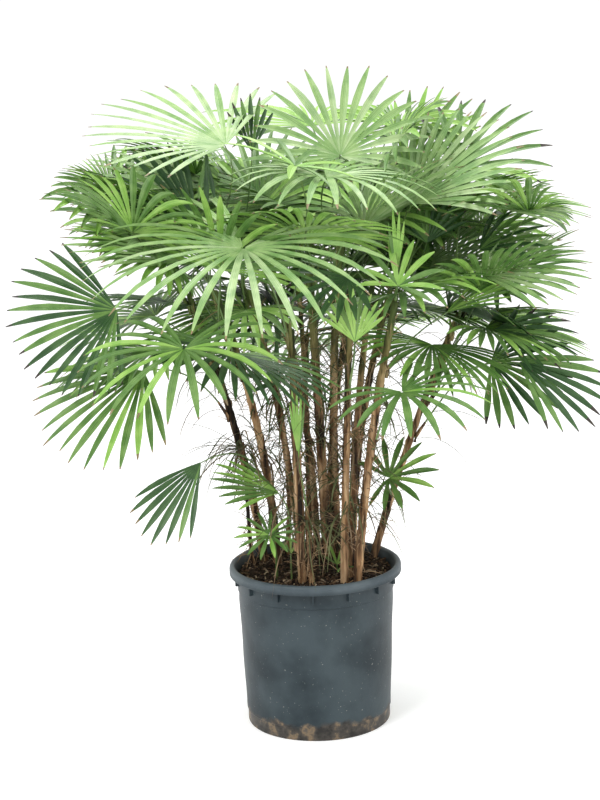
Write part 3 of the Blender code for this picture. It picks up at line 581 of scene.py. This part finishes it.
# The dead leaflets: thin dry brown and olive strips of old fans, which hang from the canes and tangle between
# them below the crown. Each is a flat ribbon that starts inside its cane's fibre and bends down.
DEAD_LEAFLETS = {
    "dead_leaflets_brown": (220, 31, (0.16, 0.11, 0.065)),
    "dead_leaflets_olive": (520, 32, (0.085, 0.095, 0.040)),
}
DEAD_HEIGHTS = (0.55, 1.00)
DEAD_LENGTHS = (0.09, 0.24)
DEAD_BENDS = (0.15, 0.42)
DEAD_HALF_WIDTHS = (0.0012, 0.0030)
DEAD_STEPS = 7
DEAD_SHAPE = (0.4, 0.8, 1, 1, 0.9, 0.7, 0.4, 0.1)
DEAD_DEPTH = 0.8
DEAD_FLATNESS = 0.3
DEAD_UP = (0.0, 1.3)
DEAD_SWAY = 0.12
DEAD_BELOW_TIP = 0.02
for name, (count, seed, colour) in DEAD_LEAFLETS.items():
    dice = random.Random(seed)
    points, faces = [], []
    for _ in range(count):
        cane = dice.choice(list(CANES))
        height = min(dice.uniform(*DEAD_HEIGHTS), cane_top(cane) - DEAD_BELOW_TIP)
        way = dice.uniform(0, math.tau)
        out = Vector((math.cos(way), math.sin(way), 0))
        path = [cane_point(cane, height) + out * cane_radius(cane, height) * DEAD_DEPTH]
        heading = (out + UP * dice.uniform(*DEAD_UP)).normalized()
        length = dice.uniform(*DEAD_LENGTHS)
        bend = dice.uniform(*DEAD_BENDS)
        for step in range(DEAD_STEPS):
            sway = out.cross(UP) * dice.uniform(-DEAD_SWAY, DEAD_SWAY)
            heading = (heading - UP * bend + sway).normalized()
            path.append(path[-1] + heading * length / DEAD_STEPS)
        wide = dice.uniform(*DEAD_HALF_WIDTHS)
        thread_solid(path, [wide * share for share in DEAD_SHAPE], points, faces, flat=DEAD_FLATNESS)
    material, tree, shader, place = new_material(name, roughness=0.8, specular=0.25)
    tone = speckle(tree, place, scale=24.0)
    tree.links.new(shaded(tree, tone, colour, dark=0.6, light=1.5), shader.inputs["Base Color"])
    shown_piece(name, points, faces, material, crease=60)

# The fronds: fans of folded leaflets, joined round the hub and slit apart further out. Each tuft has its cane
# and the height where it leaves it, or a sucker's place on the soil, and a row for each frond: its hub, its
# blade's azimuth, elevation and roll, its radius, fan angle, leaflets and droop, its tint and its tips' tint.
# The tints in the rows carry painted light: pale and sage are painted highlight on lit fronds, dark is
# painted shade on shaded fronds with black tips in painted shade, and young is the yellow-green of young
# fronds and, on older fronds with dry tips, a painted backlit glow.
TUFTS = {
    "fronds_front_left_top": ("cane_front_left", 1.000, (
        (-0.150, -0.300, 1.285, -115, -20, -8, 0.43, 280, 24, 0.9, "sage", "brown"),
        (-0.022, -0.250, 1.470, 150, 20, 0, 0.20, 300, 9, 0.5, "young", "none"))),
    "fronds_middle_top": ("cane_middle", 1.150, (
        (0.090, -0.050, 1.478, 90, 60, 0, 0.25, 240, 22, 0.5, "sage", "brown"),)),
    "fronds_left_top": ("cane_left", 1.110, (
        (-0.193, 0.000, 1.510, 155, 8, -18, 0.38, 180, 18, 0.3, "pale", "brown"),
        (-0.273, 0.000, 1.320, 175, 35, -50, 0.25, 90, 11, 0.2, "dark", "black"),
        (-0.243, -0.030, 1.495, -90, -80, 0, 0.16, 20, 3, 0.1, "dark", "black"))),
    "fronds_left_outer_top": ("cane_left_outer", 1.120, (
        (-0.475, -0.100, 1.118, 190, -18, -55, 0.29, 150, 18, 0.3, "dark", "black"),
        (-0.270, 0.050, 1.402, 170, 8, -20, 0.27, 80, 8, 0.2, "pale", "brown"))),
    "fronds_left_middle": ("cane_left", 0.920, (
        (-0.297, -0.350, 1.057, -105, -25, 0, 0.29, 280, 18, 1.0, "mid", "brown"),
        (-0.289, -0.100, 1.232, 185, 8, -20, 0.33, 80, 11, 0.3, "sage", "brown"))),
    "fronds_left_outer_middle": ("cane_left_outer", 0.800, (
        (-0.411, -0.150, 0.971, -145, -40, -30, 0.32, 115, 14, 0.4, "mid", "brown"),)),
    "fronds_left_low": ("cane_left", 0.620, (
        (-0.273, -0.250, 0.759, -150, -45, -60, 0.25, 55, 8, 0.3, "dark", "brown"),)),
    "fronds_front_middle_top": ("cane_front_middle", 1.080, (
        (0.051, -0.200, 1.439, -50, -10, 0, 0.31, 280, 20, 1.0, "sage", "brown"),
        (0.098, -0.200, 1.194, -150, -30, -30, 0.17, 150, 9, 0.5, "dark", "black"))),
    "fronds_front_middle": ("cane_front_middle", 0.880, (
        (0.108, -0.300, 1.053, 90, 60, 0, 0.13, 100, 11, 0.2, "young", "none"),)),
    "fronds_front_right_tip": ("cane_front_right", 1.130, (
        (0.216, -0.250, 1.177, 60, 50, 20, 0.13, 200, 9, 0.6, "young", "none"),
        (0.216, -0.200, 1.190, 90, 88, 0, 0.18, 16, 4, 0.0, "young", "none"))),
    "fronds_front_right_middle": ("cane_front_right", 0.950, (
        (0.345, -0.100, 1.088, 10, 15, 20, 0.20, 60, 8, 0.3, "young", "brown"),)),
    "fronds_front_right_low": ("cane_front_right", 0.750, (
        (0.218, -0.300, 0.928, -50, -12, 10, 0.24, 260, 15, 0.9, "mid", "brown"),)),
    "fronds_inner_right_top": ("cane_inner_right", 1.090, (
        (0.266, -0.050, 1.354, 20, 35, 30, 0.32, 120, 18, 0.5, "sage", "brown"),
        (0.421, -0.050, 1.179, 0, -2, 25, 0.30, 110, 14, 0.4, "sage", "brown"))),
    "fronds_back_right_top": ("cane_back_right", 1.050, (
        (0.386, 0.050, 1.430, 20, 25, 35, 0.26, 160, 12, 0.5, "mid", "black"),
        (0.265, 0.200, 1.415, 40, 45, 20, 0.27, 90, 10, 0.3, "young", "brown"),
        (0.306, 0.000, 1.250, 80, 60, 0, 0.15, 120, 11, 0.3, "dark", "black"))),
    "fronds_right_leaning_top": ("cane_right_leaning", 0.990, (
        (0.425, 0.000, 1.345, 0, -10, 15, 0.31, 70, 10, 0.4, "pale", "brown"),
        (0.442, 0.050, 1.223, 0, 15, 25, 0.21, 120, 9, 0.5, "dark", "black"))),
    "fronds_right_leaning_middle": ("cane_right_leaning", 0.800, (
        (0.473, 0.000, 1.025, -10, -20, 30, 0.24, 90, 9, 0.4, "dark", "black"),
        (0.530, -0.050, 0.947, -10, -35, 50, 0.26, 80, 9, 0.3, "dark", "black"))),
    "fronds_right_leaning_low": ("cane_right_leaning", 0.720, (
        (0.470, 0.050, 0.933, -10, -15, 70, 0.22, 160, 14, 0.3, "dark", "black"),)),
    "fronds_right_leaning_foot": ("cane_right_leaning", 0.550, (
        (0.195, -0.050, 0.655, 0, 15, 35, 0.14, 260, 12, 0.4, "mid", "brown"),)),
    "fronds_dark_leaning_top": ("cane_dark_leaning", 1.040, (
        (-0.131, 0.100, 1.485, 90, 70, 0, 0.15, 60, 7, 0.1, "dark", "black"),)),
    "fronds_front_left_middle": ("cane_front_left", 0.780, (
        (-0.087, -0.050, 0.909, 150, 50, -10, 0.14, 170, 8, 0.3, "dark", "black"),)),
    "fronds_front_left_low": ("cane_front_left", 0.500, (
        (-0.087, -0.120, 0.642, 185, 10, -30, 0.19, 80, 9, 0.3, "mid", "none"),)),
    "fronds_shoot_tip": ("cane_front_shoot", 0.590, (
        (-0.035, -0.150, 0.730, 90, 88, 0, 0.21, 14, 5, 0.0, "young", "none"),)),
    "sucker_left": ((-0.100, -0.060), 0, (
        (-0.115, -0.150, 0.541, -120, -30, -10, 0.095, 320, 14, 0.4, "mid", "none"),)),
    "sucker_middle": ((0.058, -0.040), 0, (
        (0.056, -0.060, 0.432, 90, 75, 0, 0.060, 110, 4, 0.1, "young", "none"),
        (0.060, -0.090, 0.428, -20, 10, 0, 0.070, 140, 4, 0.4, "young", "none"))),
    "sucker_front": ((-0.062, -0.080), 0, (
        (-0.062, -0.085, 0.470, 90, 80, 0, 0.055, 50, 3, 0.1, "young", "none"),)),
}

# The rest of the crown: fronds on the back and side canes, three from one place. A cane's upper three are
# lifted, and its lower three hang, turned to one side, so that the crown is round and closed behind.
INNER_CANES = (
    "cane_back", "cane_back_thin", "cane_middle_left", "cane_back_right", "cane_middle_right",
    "cane_dark_leaning", "cane_left_outer", "cane_right_leaning")
INNER_DROPS = (0.03, 0.20)
INNER_TURN = 45
INNER_SPREAD = 58.0
INNER_WANDER = 10
INNER_REACHES = (0.13, 0.25)
INNER_RISES = (0.20, 0.32)
LOWER_RISE = 0.12
INNER_ELEVATIONS = (15, 45)
LOWER_TILT = 40
INNER_ROLL = 18
INNER_RADII = (0.27, 0.34)
INNER_FANS = (170, 230)
INNER_DROOPS = (0.5, 0.9)
INNER_LEAFLETS = 24
# The lifted fronds are dealt mid green with sage, a painted highlight; the hanging ones mostly dark, painted
# shade under the crown. Young among these older fronds is a painted backlit glow.
INNER_TINTS = (("mid", "mid", "sage", "young"), ("dark", "mid", "dark", "young"))


def inner_rows(cane, height, bearing, level, dice, tints):
    """Three fronds that fan out from one place on a cane, at level 0 lifted and at level 1 hanging."""
    rows = []
    middle = cane_point(cane, height)
    for turn in (-INNER_SPREAD, 0.0, INNER_SPREAD):
        way = bearing + turn + dice.uniform(-INNER_WANDER, INNER_WANDER)
        reach = dice.uniform(*INNER_REACHES)
        rise = dice.uniform(*INNER_RISES) - LOWER_RISE * level
        outward = Vector((math.cos(math.radians(way)), math.sin(math.radians(way)), 0))
        hub = middle + outward * reach + UP * rise
        elevation = dice.uniform(*INNER_ELEVATIONS) - LOWER_TILT * level
        roll = dice.uniform(-INNER_ROLL, INNER_ROLL)
        radius = dice.uniform(*INNER_RADII)
        fan = dice.uniform(*INNER_FANS)
        droop = dice.uniform(*INNER_DROOPS)
        tint = tints.choice(INNER_TINTS[level])
        rows.append((*hub, way, elevation, roll, radius, fan, INNER_LEAFLETS, droop, tint, "brown"))
    return tuple(rows)


def outward_bearing(cane):
    """The bearing of a cane's tip, seen from the middle of the plant."""
    tip = CANES[cane][2]
    return math.degrees(math.atan2(tip[1], tip[0]))


dice = random.Random(7)
tints = random.Random(8)
inner_names = []
for order, cane in enumerate(INNER_CANES):
    for level, drop in enumerate(INNER_DROPS):
        bearing = outward_bearing(cane) + INNER_TURN * level * (1 if (order + level) % 2 else -1)
        name = cane.replace("cane", "fronds") + ("_upper", "_lower")[level]
        height = cane_top(cane) - drop
        TUFTS[name] = (cane, height, inner_rows(cane, height, bearing, level, dice, tints))
        inner_names.append(name)

# The filling fronds: three more by the same rule from lower down on each of the middle and back canes. They
# close the crown's inside, where the photograph shows leaf behind leaf.
FILLING_CANES = INNER_CANES + ("cane_middle", "cane_left")
FILLING_DROP = 0.15
FILLING_WANDER = 40
dice = random.Random(17)
for cane in FILLING_CANES:
    bearing = outward_bearing(cane) + dice.uniform(-FILLING_WANDER, FILLING_WANDER)
    name = cane.replace("cane", "filling")
    height = cane_top(cane) - FILLING_DROP
    TUFTS[name] = (cane, height, inner_rows(cane, height, bearing, 0, dice, tints))
    inner_names.append(name)

# The leaflets: folded blades with a groove above and a keel below. Each leaves the hub a little cupped,
# swells past its slit, narrows to a blunt tip, often torn or dry, and bends under its own weight.
LINE_STEPS = 12
CUP = 0.20
DROOP_GAIN = 1.5
NOTCH_AT = 0.20
SLIT_WIDTH = 0.8
BELLY_AT = 0.62
BELLY_HALF = 0.0094
BELLY_SPREAD = (0.88, 1.1)
BELLY_LEAST = 0.0012
BELLY_OF_GAP = 0.70
BELLY_OF_LENGTH = 0.065
TIP_NARROWING = 0.86
TIP_ROUNDNESS = 2.1
FOLD = 0.34
KEEL = 0.0011
KEEL_FADE = 1.15
TWIST = 0.25
SLOPE_SPAN = 0.04
STATIONS = (0.015, 0.10, NOTCH_AT, 0.32, 0.46, BELLY_AT, 0.76, 0.88, 0.94, 0.975, 1.0)
BLACK_CUTS = (2, 2, 3, 3, 4)
BROWN_CUTS = (2, 2, 2, 3)
# Each leaflet takes its frond's tint or a near one, so the painted highlight and painted shade vary from
# leaflet to leaflet.
NEAR_TINTS = {
    "pale": ("pale", "pale", "sage"),
    "sage": ("sage", "sage", "pale", "sage"),
    "mid": ("mid", "mid", "mid", "young"),
    "dark": ("dark", "dark", "mid"),
    "young": ("young", "young", "mid"),
}


class Heap:
    """Leaflets of one tint, gathered for one joined mesh."""

    def __init__(self):
        self.points, self.faces, self.uvs = [], [], []

    def blade(self, sections):
        """A folded blade through its cross-sections: left edge, groove, right edge and keel."""
        first = len(self.points)
        for along, corners in sections:
            self.points += corners
            self.uvs += [(0.0, along), (0.5, along), (1.0, along), (0.5, along)]
        skin(first, len(sections), 4, self.faces)


heaps = {tint: Heap() for tint in ("pale", "sage", "mid", "dark", "young", "brown", "black")}
leaf_dice = random.Random(5)


def leaflet_line(hub, heading, face, length, droop):
    """A leaflet's midrib: it leaves the hub a little cupped, then its own weight bends it down."""
    path = [hub.copy()]
    way = (heading + face * CUP).normalized()
    for step in range(LINE_STEPS):
        done = (step + 0.5) / LINE_STEPS
        way = (way - UP * (droop * done * DROOP_GAIN / LINE_STEPS)).normalized()
        path.append(path[-1] + way * (length / LINE_STEPS))
    return path


def point_along(line, share):
    """The point at a share of a line's length, from 0 at its start to 1 at its end."""
    place = share * (len(line) - 1)
    index = min(int(place), len(line) - 2)
    return line[index].lerp(line[index + 1], place - index)


def half_width(share, length, spacing, belly):
    """Half a leaflet's width: it fills the fan to its slit, swells, and narrows to a blunt torn tip."""
    splay = math.tan(spacing / 2)
    slit = min(NOTCH_AT, belly * SLIT_WIDTH / (length * splay))
    at_slit = slit * length * splay
    if share <= slit:
        return share * length * splay
    if share <= BELLY_AT:
        done = (share - slit) / (BELLY_AT - slit)
        return at_slit + (belly - at_slit) * done * done * (3 - 2 * done)
    done = (share - BELLY_AT) / (1 - BELLY_AT)
    return belly * (1 - TIP_NARROWING * done ** TIP_ROUNDNESS)


def lay_leaflet(hub, heading, face, length, droop, spacing, tint, tips):
    """One leaflet in the heap of its tint, with its dry end in the heap of its tips."""
    line = leaflet_line(hub, heading, face, length, droop)
    twist = leaf_dice.uniform(-TWIST, TWIST)
    belly = min(
        BELLY_HALF * leaf_dice.uniform(*BELLY_SPREAD),
        BELLY_OF_GAP * BELLY_AT * length * math.tan(spacing / 2) + BELLY_LEAST,
        length * BELLY_OF_LENGTH)
    sections = []
    across = heading.cross(face).normalized()
    for share in STATIONS:
        middle = point_along(line, share)
        further = point_along(line, min(share + SLOPE_SPAN, 1))
        nearer = point_along(line, max(share - SLOPE_SPAN, 0))
        top = across.cross((further - nearer).normalized()).normalized()
        if top.dot(face) < 0:
            top = -top
        lean = twist * max(0, share - NOTCH_AT)
        wide = (across * math.cos(lean) + top * math.sin(lean)) * half_width(share, length, spacing, belly)
        lift = top * wide.length * FOLD
        keel = top * KEEL * (KEEL_FADE - share)
        sections.append((share, [middle - wide + lift, middle, middle + wide + lift, middle - keel]))
    cut = len(STATIONS) - 1
    if tips != "none":
        cut = len(STATIONS) - leaf_dice.choice(BLACK_CUTS if tips == "black" else BROWN_CUTS)
    heaps[leaf_dice.choice(NEAR_TINTS[tint])].blade(sections[:cut + 1])
    if cut < len(STATIONS) - 1:
        heaps[tips].blade(sections[cut:])


# Each frond in place: a petiole that curves from its cane to the hub, a sheath round the petiole's foot, and
# the fan of leaflets, shorter towards its sides. In the rest of the crown, a leaflet that would reach past
# the crown's rounded outline is shortened, or left out.
CROWN_CENTRE = Vector((-0.020, 0.000, 1.080))
CROWN_HALF = Vector((0.760, 0.740, 0.620))
CROWN_FLOOR = 0.760
LEAST_LENGTH = 0.1
SHORTENING = 0.88
SIDE_SHORTENING = 0.20
LENGTH_SPREAD = (0.93, 1.0)
DROOP_SPREAD = (0.85, 1.15)
STALK_STEPS = 12
STALK_HALF = 0.0034
STALK_TAPER = 0.0013
STALK_FLATNESS = 0.75
STALK_OVERLAP = 0.004
SHEATH_FOOT = 0.012
SHEATH_SHARES = (0.15, 0.4, 0.7, 1.0)
SHEATH_HALVES = (0.0050, 0.0062, 0.0056, 0.0044, 0.0036)
SHEATH_FLATNESS = 0.9
ROOT_SINK = 0.004
ROOT_PITCH = 0.004
ROOT_OUT = 0.0012
ROOT_LEAN = 0.35
HEADING_SPAN = 0.01
SHEATH_FROM = SOIL_TOP + 0.01
FACING_FRONT = Vector((0, -1, 0))
petiole_points, petiole_faces = [], []
sheath_points, sheath_faces = [], []


def blade_axes(azimuth, elevation, roll):
    """The way a blade points, its left side and its upper face."""
    turn, rise, lean = math.radians(azimuth), math.radians(elevation), math.radians(roll)
    ahead = Vector((math.cos(rise) * math.cos(turn), math.cos(rise) * math.sin(turn), math.sin(rise)))
    level = Vector((-math.sin(turn), math.cos(turn), 0))
    top = ahead.cross(level)
    side = level * math.cos(lean) + top * math.sin(lean)
    face = top * math.cos(lean) - level * math.sin(lean)
    return ahead, side, face


def within_crown(point):
    """Whether a point lies inside the crown's rounded outline."""
    offset = point - CROWN_CENTRE
    squares = sum((offset[axis] / CROWN_HALF[axis]) ** 2 for axis in range(3))
    return squares < 1 and point.z > CROWN_FLOOR


def stalk_line(root, depart, end, arrive):
    """A petiole's middle: a smooth curve that leaves its root one way and comes to the hub another way."""
    path = []
    for step in range(STALK_STEPS + 1):
        share = step / STALK_STEPS
        path.append(
            root * (2 * share**3 - 3 * share**2 + 1) + depart * (share**3 - 2 * share**2 + share)
            + end * (3 * share**2 - 2 * share**3) + arrive * (share**3 - share**2))
    return path


def lay_frond(root, rise, row, inner):
    """One frond: its petiole, its sheath and its fan of leaflets."""
    hub = Vector(row[:3])
    ahead, side, face = blade_axes(*row[3:6])
    radius, fan, count, droop, tint, tips = row[6:]
    reach = (hub - root).length
    arrive = ((hub - root).normalized() + ahead).normalized() * reach
    depart = rise.normalized() * reach
    path = stalk_line(root, depart, hub + ahead * STALK_OVERLAP, arrive)
    halves = [STALK_HALF - STALK_TAPER * step / STALK_STEPS for step in range(STALK_STEPS + 1)]
    thread_solid(path, halves, petiole_points, petiole_faces, flat=STALK_FLATNESS)
    if root.z > SHEATH_FROM:
        wrap = [root - UP * SHEATH_FOOT] + [root.lerp(path[2], share) for share in SHEATH_SHARES]
        thread_solid(wrap, SHEATH_HALVES, sheath_points, sheath_faces, flat=SHEATH_FLATNESS)
    spacing = math.radians(fan) / (count - 1)
    for index in range(count):
        offset = 2 * index / (count - 1) - 1
        angle = math.radians(fan) * offset / 2
        heading = ahead * math.cos(angle) + side * math.sin(angle)
        length = radius * (1 - SIDE_SHORTENING * offset * offset) * leaf_dice.uniform(*LENGTH_SPREAD)
        bend = droop * leaf_dice.uniform(*DROOP_SPREAD)
        if inner:
            while length > LEAST_LENGTH:
                if within_crown(leaflet_line(hub, heading, face, length, bend)[-1]):
                    break
                length *= SHORTENING
            if length <= LEAST_LENGTH:
                continue
        lay_leaflet(hub, heading, face, length, bend, spacing, tint, tips)


def tuft_root(cane, height, rows):
    """Where a tuft grows from, the way its cane or sucker heads there, and the way its fronds lean out."""
    if isinstance(cane, tuple):
        return Vector((*cane, SOIL_TOP - ROOT_SINK)), UP, FACING_FRONT
    if height >= cane_top(cane):
        return Vector(CANES[cane][2]) - UP * ROOT_SINK, UP, FACING_FRONT
    middle = cane_point(cane, height)
    hubs = sum((Vector(row[:3]) for row in rows), Vector()) / len(rows)
    outward = hubs - middle
    outward.z = 0
    outward.normalize()
    heading = (cane_point(cane, height + HEADING_SPAN) - cane_point(cane, height - HEADING_SPAN)).normalized()
    return middle + outward * (cane_radius(cane, height) + ROOT_OUT), heading, outward


for name, (cane, height, rows) in TUFTS.items():
    root, heading, outward = tuft_root(cane, height, rows)
    for order, row in enumerate(rows):
        foot = root + heading * ROOT_PITCH * order
        lay_frond(foot, heading + outward * ROOT_LEAN, row, name in inner_names)

# The leaf finishes: satin leaf with fine ribs along each leaflet and cloudy colour, in five greens and in the
# brown and black of dry tips. Each tone gives its dark and its light shade, and each tint is one mesh. The
# greens pale, sage and dark are lit and shaded copies of the leaf's own mid green: pale and sage are painted
# highlight, and dark is painted shade. Young is the yellow-green of young fronds and, on older fronds, a
# painted backlit glow. Black is the dry tips' brown darkened as painted shade.
LEAF_TONES = {
    "pale": ((0.20, 0.33, 0.13), (0.39, 0.51, 0.25), "leaf_sage"),
    "sage": ((0.135, 0.27, 0.075), (0.30, 0.44, 0.17), "leaf_sage"),
    "mid": ((0.062, 0.155, 0.028), (0.16, 0.28, 0.075), "leaf_green"),
    "dark": ((0.018, 0.060, 0.016), (0.060, 0.130, 0.040), "leaf_dark"),
    "young": ((0.17, 0.36, 0.055), (0.33, 0.52, 0.13), "leaf_young"),
    "brown": ((0.13, 0.095, 0.045), (0.30, 0.23, 0.12), "leaf_green"),
    "black": ((0.018, 0.015, 0.012), (0.060, 0.048, 0.036), "leaf_dark"),
}
MAIN_TINTS = ("sage", "mid", "dark", "young")
RIBS = 9.0
RIB_TONE = 0.10
slot_of_node = {row["node"]: row["material_slot"] for row in frame["record"]["subparts"]}
for tint, (deep, light, slot) in LEAF_TONES.items():
    material, tree, shader, place = new_material(f"leaf_{tint}", roughness=0.42, specular=0.36)
    uv = node(tree, "ShaderNodeUVMap", uv_map="leaf_uv")
    parts = node(tree, "ShaderNodeSeparateXYZ")
    tree.links.new(uv.outputs["UV"], parts.inputs[0])
    turns = node(tree, "ShaderNodeMath", operation="MULTIPLY")
    tree.links.new(parts.outputs["X"], turns.inputs[0])
    turns.inputs[1].default_value = RIBS * math.pi
    ribs = node(tree, "ShaderNodeMath", operation="COSINE")
    tree.links.new(turns.outputs[0], ribs.inputs[0])
    tone = scaled_sum(tree, ribs.outputs[0], RIB_TONE, speckle(tree, place, scale=22.0, detail=4.0))
    tree.links.new(ramp(tree, tone, (0.32, deep), (0.68, light)), shader.inputs["Base Color"])
    bumped(tree, ribs.outputs[0], strength=0.15, distance=0.0006)
    heap = heaps[tint]
    leaves = shown_piece(f"leaflets_{tint}", heap.points, heap.faces, material, heap.uvs, crease=28)
    if tint in MAIN_TINTS:
        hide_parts(*[name for name in TUFTS if slot_of_node.get(name) == slot])

# The petioles: smooth slender green stalks, a little wider than they are thick, that carry each fan from its
# sheath on the cane. Those of all the fronds are one mesh.
stalk, tree, shader, place = new_material("petiole_green", roughness=0.40, specular=0.5)
tone = speckle(tree, place, scale=20.0, detail=4.0, stretch=(1, 1, 0.3))
stalk_colour = ramp(
    tree, tone, (0.35, (0.060, 0.12, 0.030)), (0.6, (0.14, 0.23, 0.065)), (0.75, (0.26, 0.30, 0.12)))
tree.links.new(stalk_colour, shader.inputs["Base Color"])
shown_piece("petioles", petiole_points, petiole_faces, stalk, crease=60)

# The sheaths: short tubes of torn brown fibre, the same as on the canes, that wrap the foot of each petiole
# and hold it to its cane.
shown_piece("petiole_sheaths", sheath_points, sheath_faces, fibre, crease=60)

# The studio: a plain pale floor that glows a little, soft light from above and in front, and the camera at
# the photograph's angle.
FLOOR_SIZE = 60
FLOOR_GLOW = 0.28
SKY_STRENGTH = 1.05
LIGHT_AIM = Vector((0, 0, 0.9))
LIGHTS = {
    "key": ((-2.2, -3.0, 4.2), 1.6, 110),
    "fill": ((3.0, -2.5, 2.6), 2.6, 20),
    "top": ((0.3, 1.2, 4.6), 2.0, 90),
}
CAMERA_AT = (-0.027, -4.5, 1.762)
CAMERA_PITCH = 11.39
CAMERA_ROLL = 1.7
FOCAL_PIXELS = 1786
PHOTO_HEIGHT = 800
SENSOR = 36
bpy.ops.mesh.primitive_plane_add(size=FLOOR_SIZE, location=(0, 0, 0))
floor = bpy.context.object
floor.name = "studio_floor"
pale_floor, tree, shader, place = new_material("studio_floor", roughness=0.9, specular=0.1)
shader.inputs["Base Color"].default_value = (0.86, 0.86, 0.86, 1)
shader.inputs["Emission Color"].default_value = (1, 1, 1, 1)
shader.inputs["Emission Strength"].default_value = FLOOR_GLOW
floor.data.materials.append(pale_floor)
world = bpy.data.worlds.new("studio")
bpy.context.scene.world = world
world.use_nodes = True
world.node_tree.nodes["Background"].inputs["Color"].default_value = (1, 1, 1, 1)
world.node_tree.nodes["Background"].inputs["Strength"].default_value = SKY_STRENGTH
for name, (spot, size, power) in LIGHTS.items():
    lamp = bpy.data.lights.new(name, "AREA")
    lamp.shape = "DISK"
    lamp.size = size
    lamp.energy = power
    holder = bpy.data.objects.new(name, lamp)
    holder.location = spot
    holder.rotation_euler = (LIGHT_AIM - Vector(spot)).to_track_quat("-Z", "Y").to_euler()
    bpy.context.scene.collection.objects.link(holder)
camera_data = bpy.data.cameras.new("camera")
camera_data.sensor_width = SENSOR
camera_data.lens = SENSOR * FOCAL_PIXELS / PHOTO_HEIGHT
camera = bpy.data.objects.new("camera", camera_data)
tilt = Matrix.Rotation(math.radians(90 - CAMERA_PITCH), 4, "X")
roll = Matrix.Rotation(-math.radians(CAMERA_ROLL), 4, "Z")
camera.matrix_world = Matrix.Translation(CAMERA_AT) @ tilt @ roll
bpy.context.scene.collection.objects.link(camera)
bpy.context.scene.camera = camera
bpy.context.scene.view_settings.view_transform = "Standard"
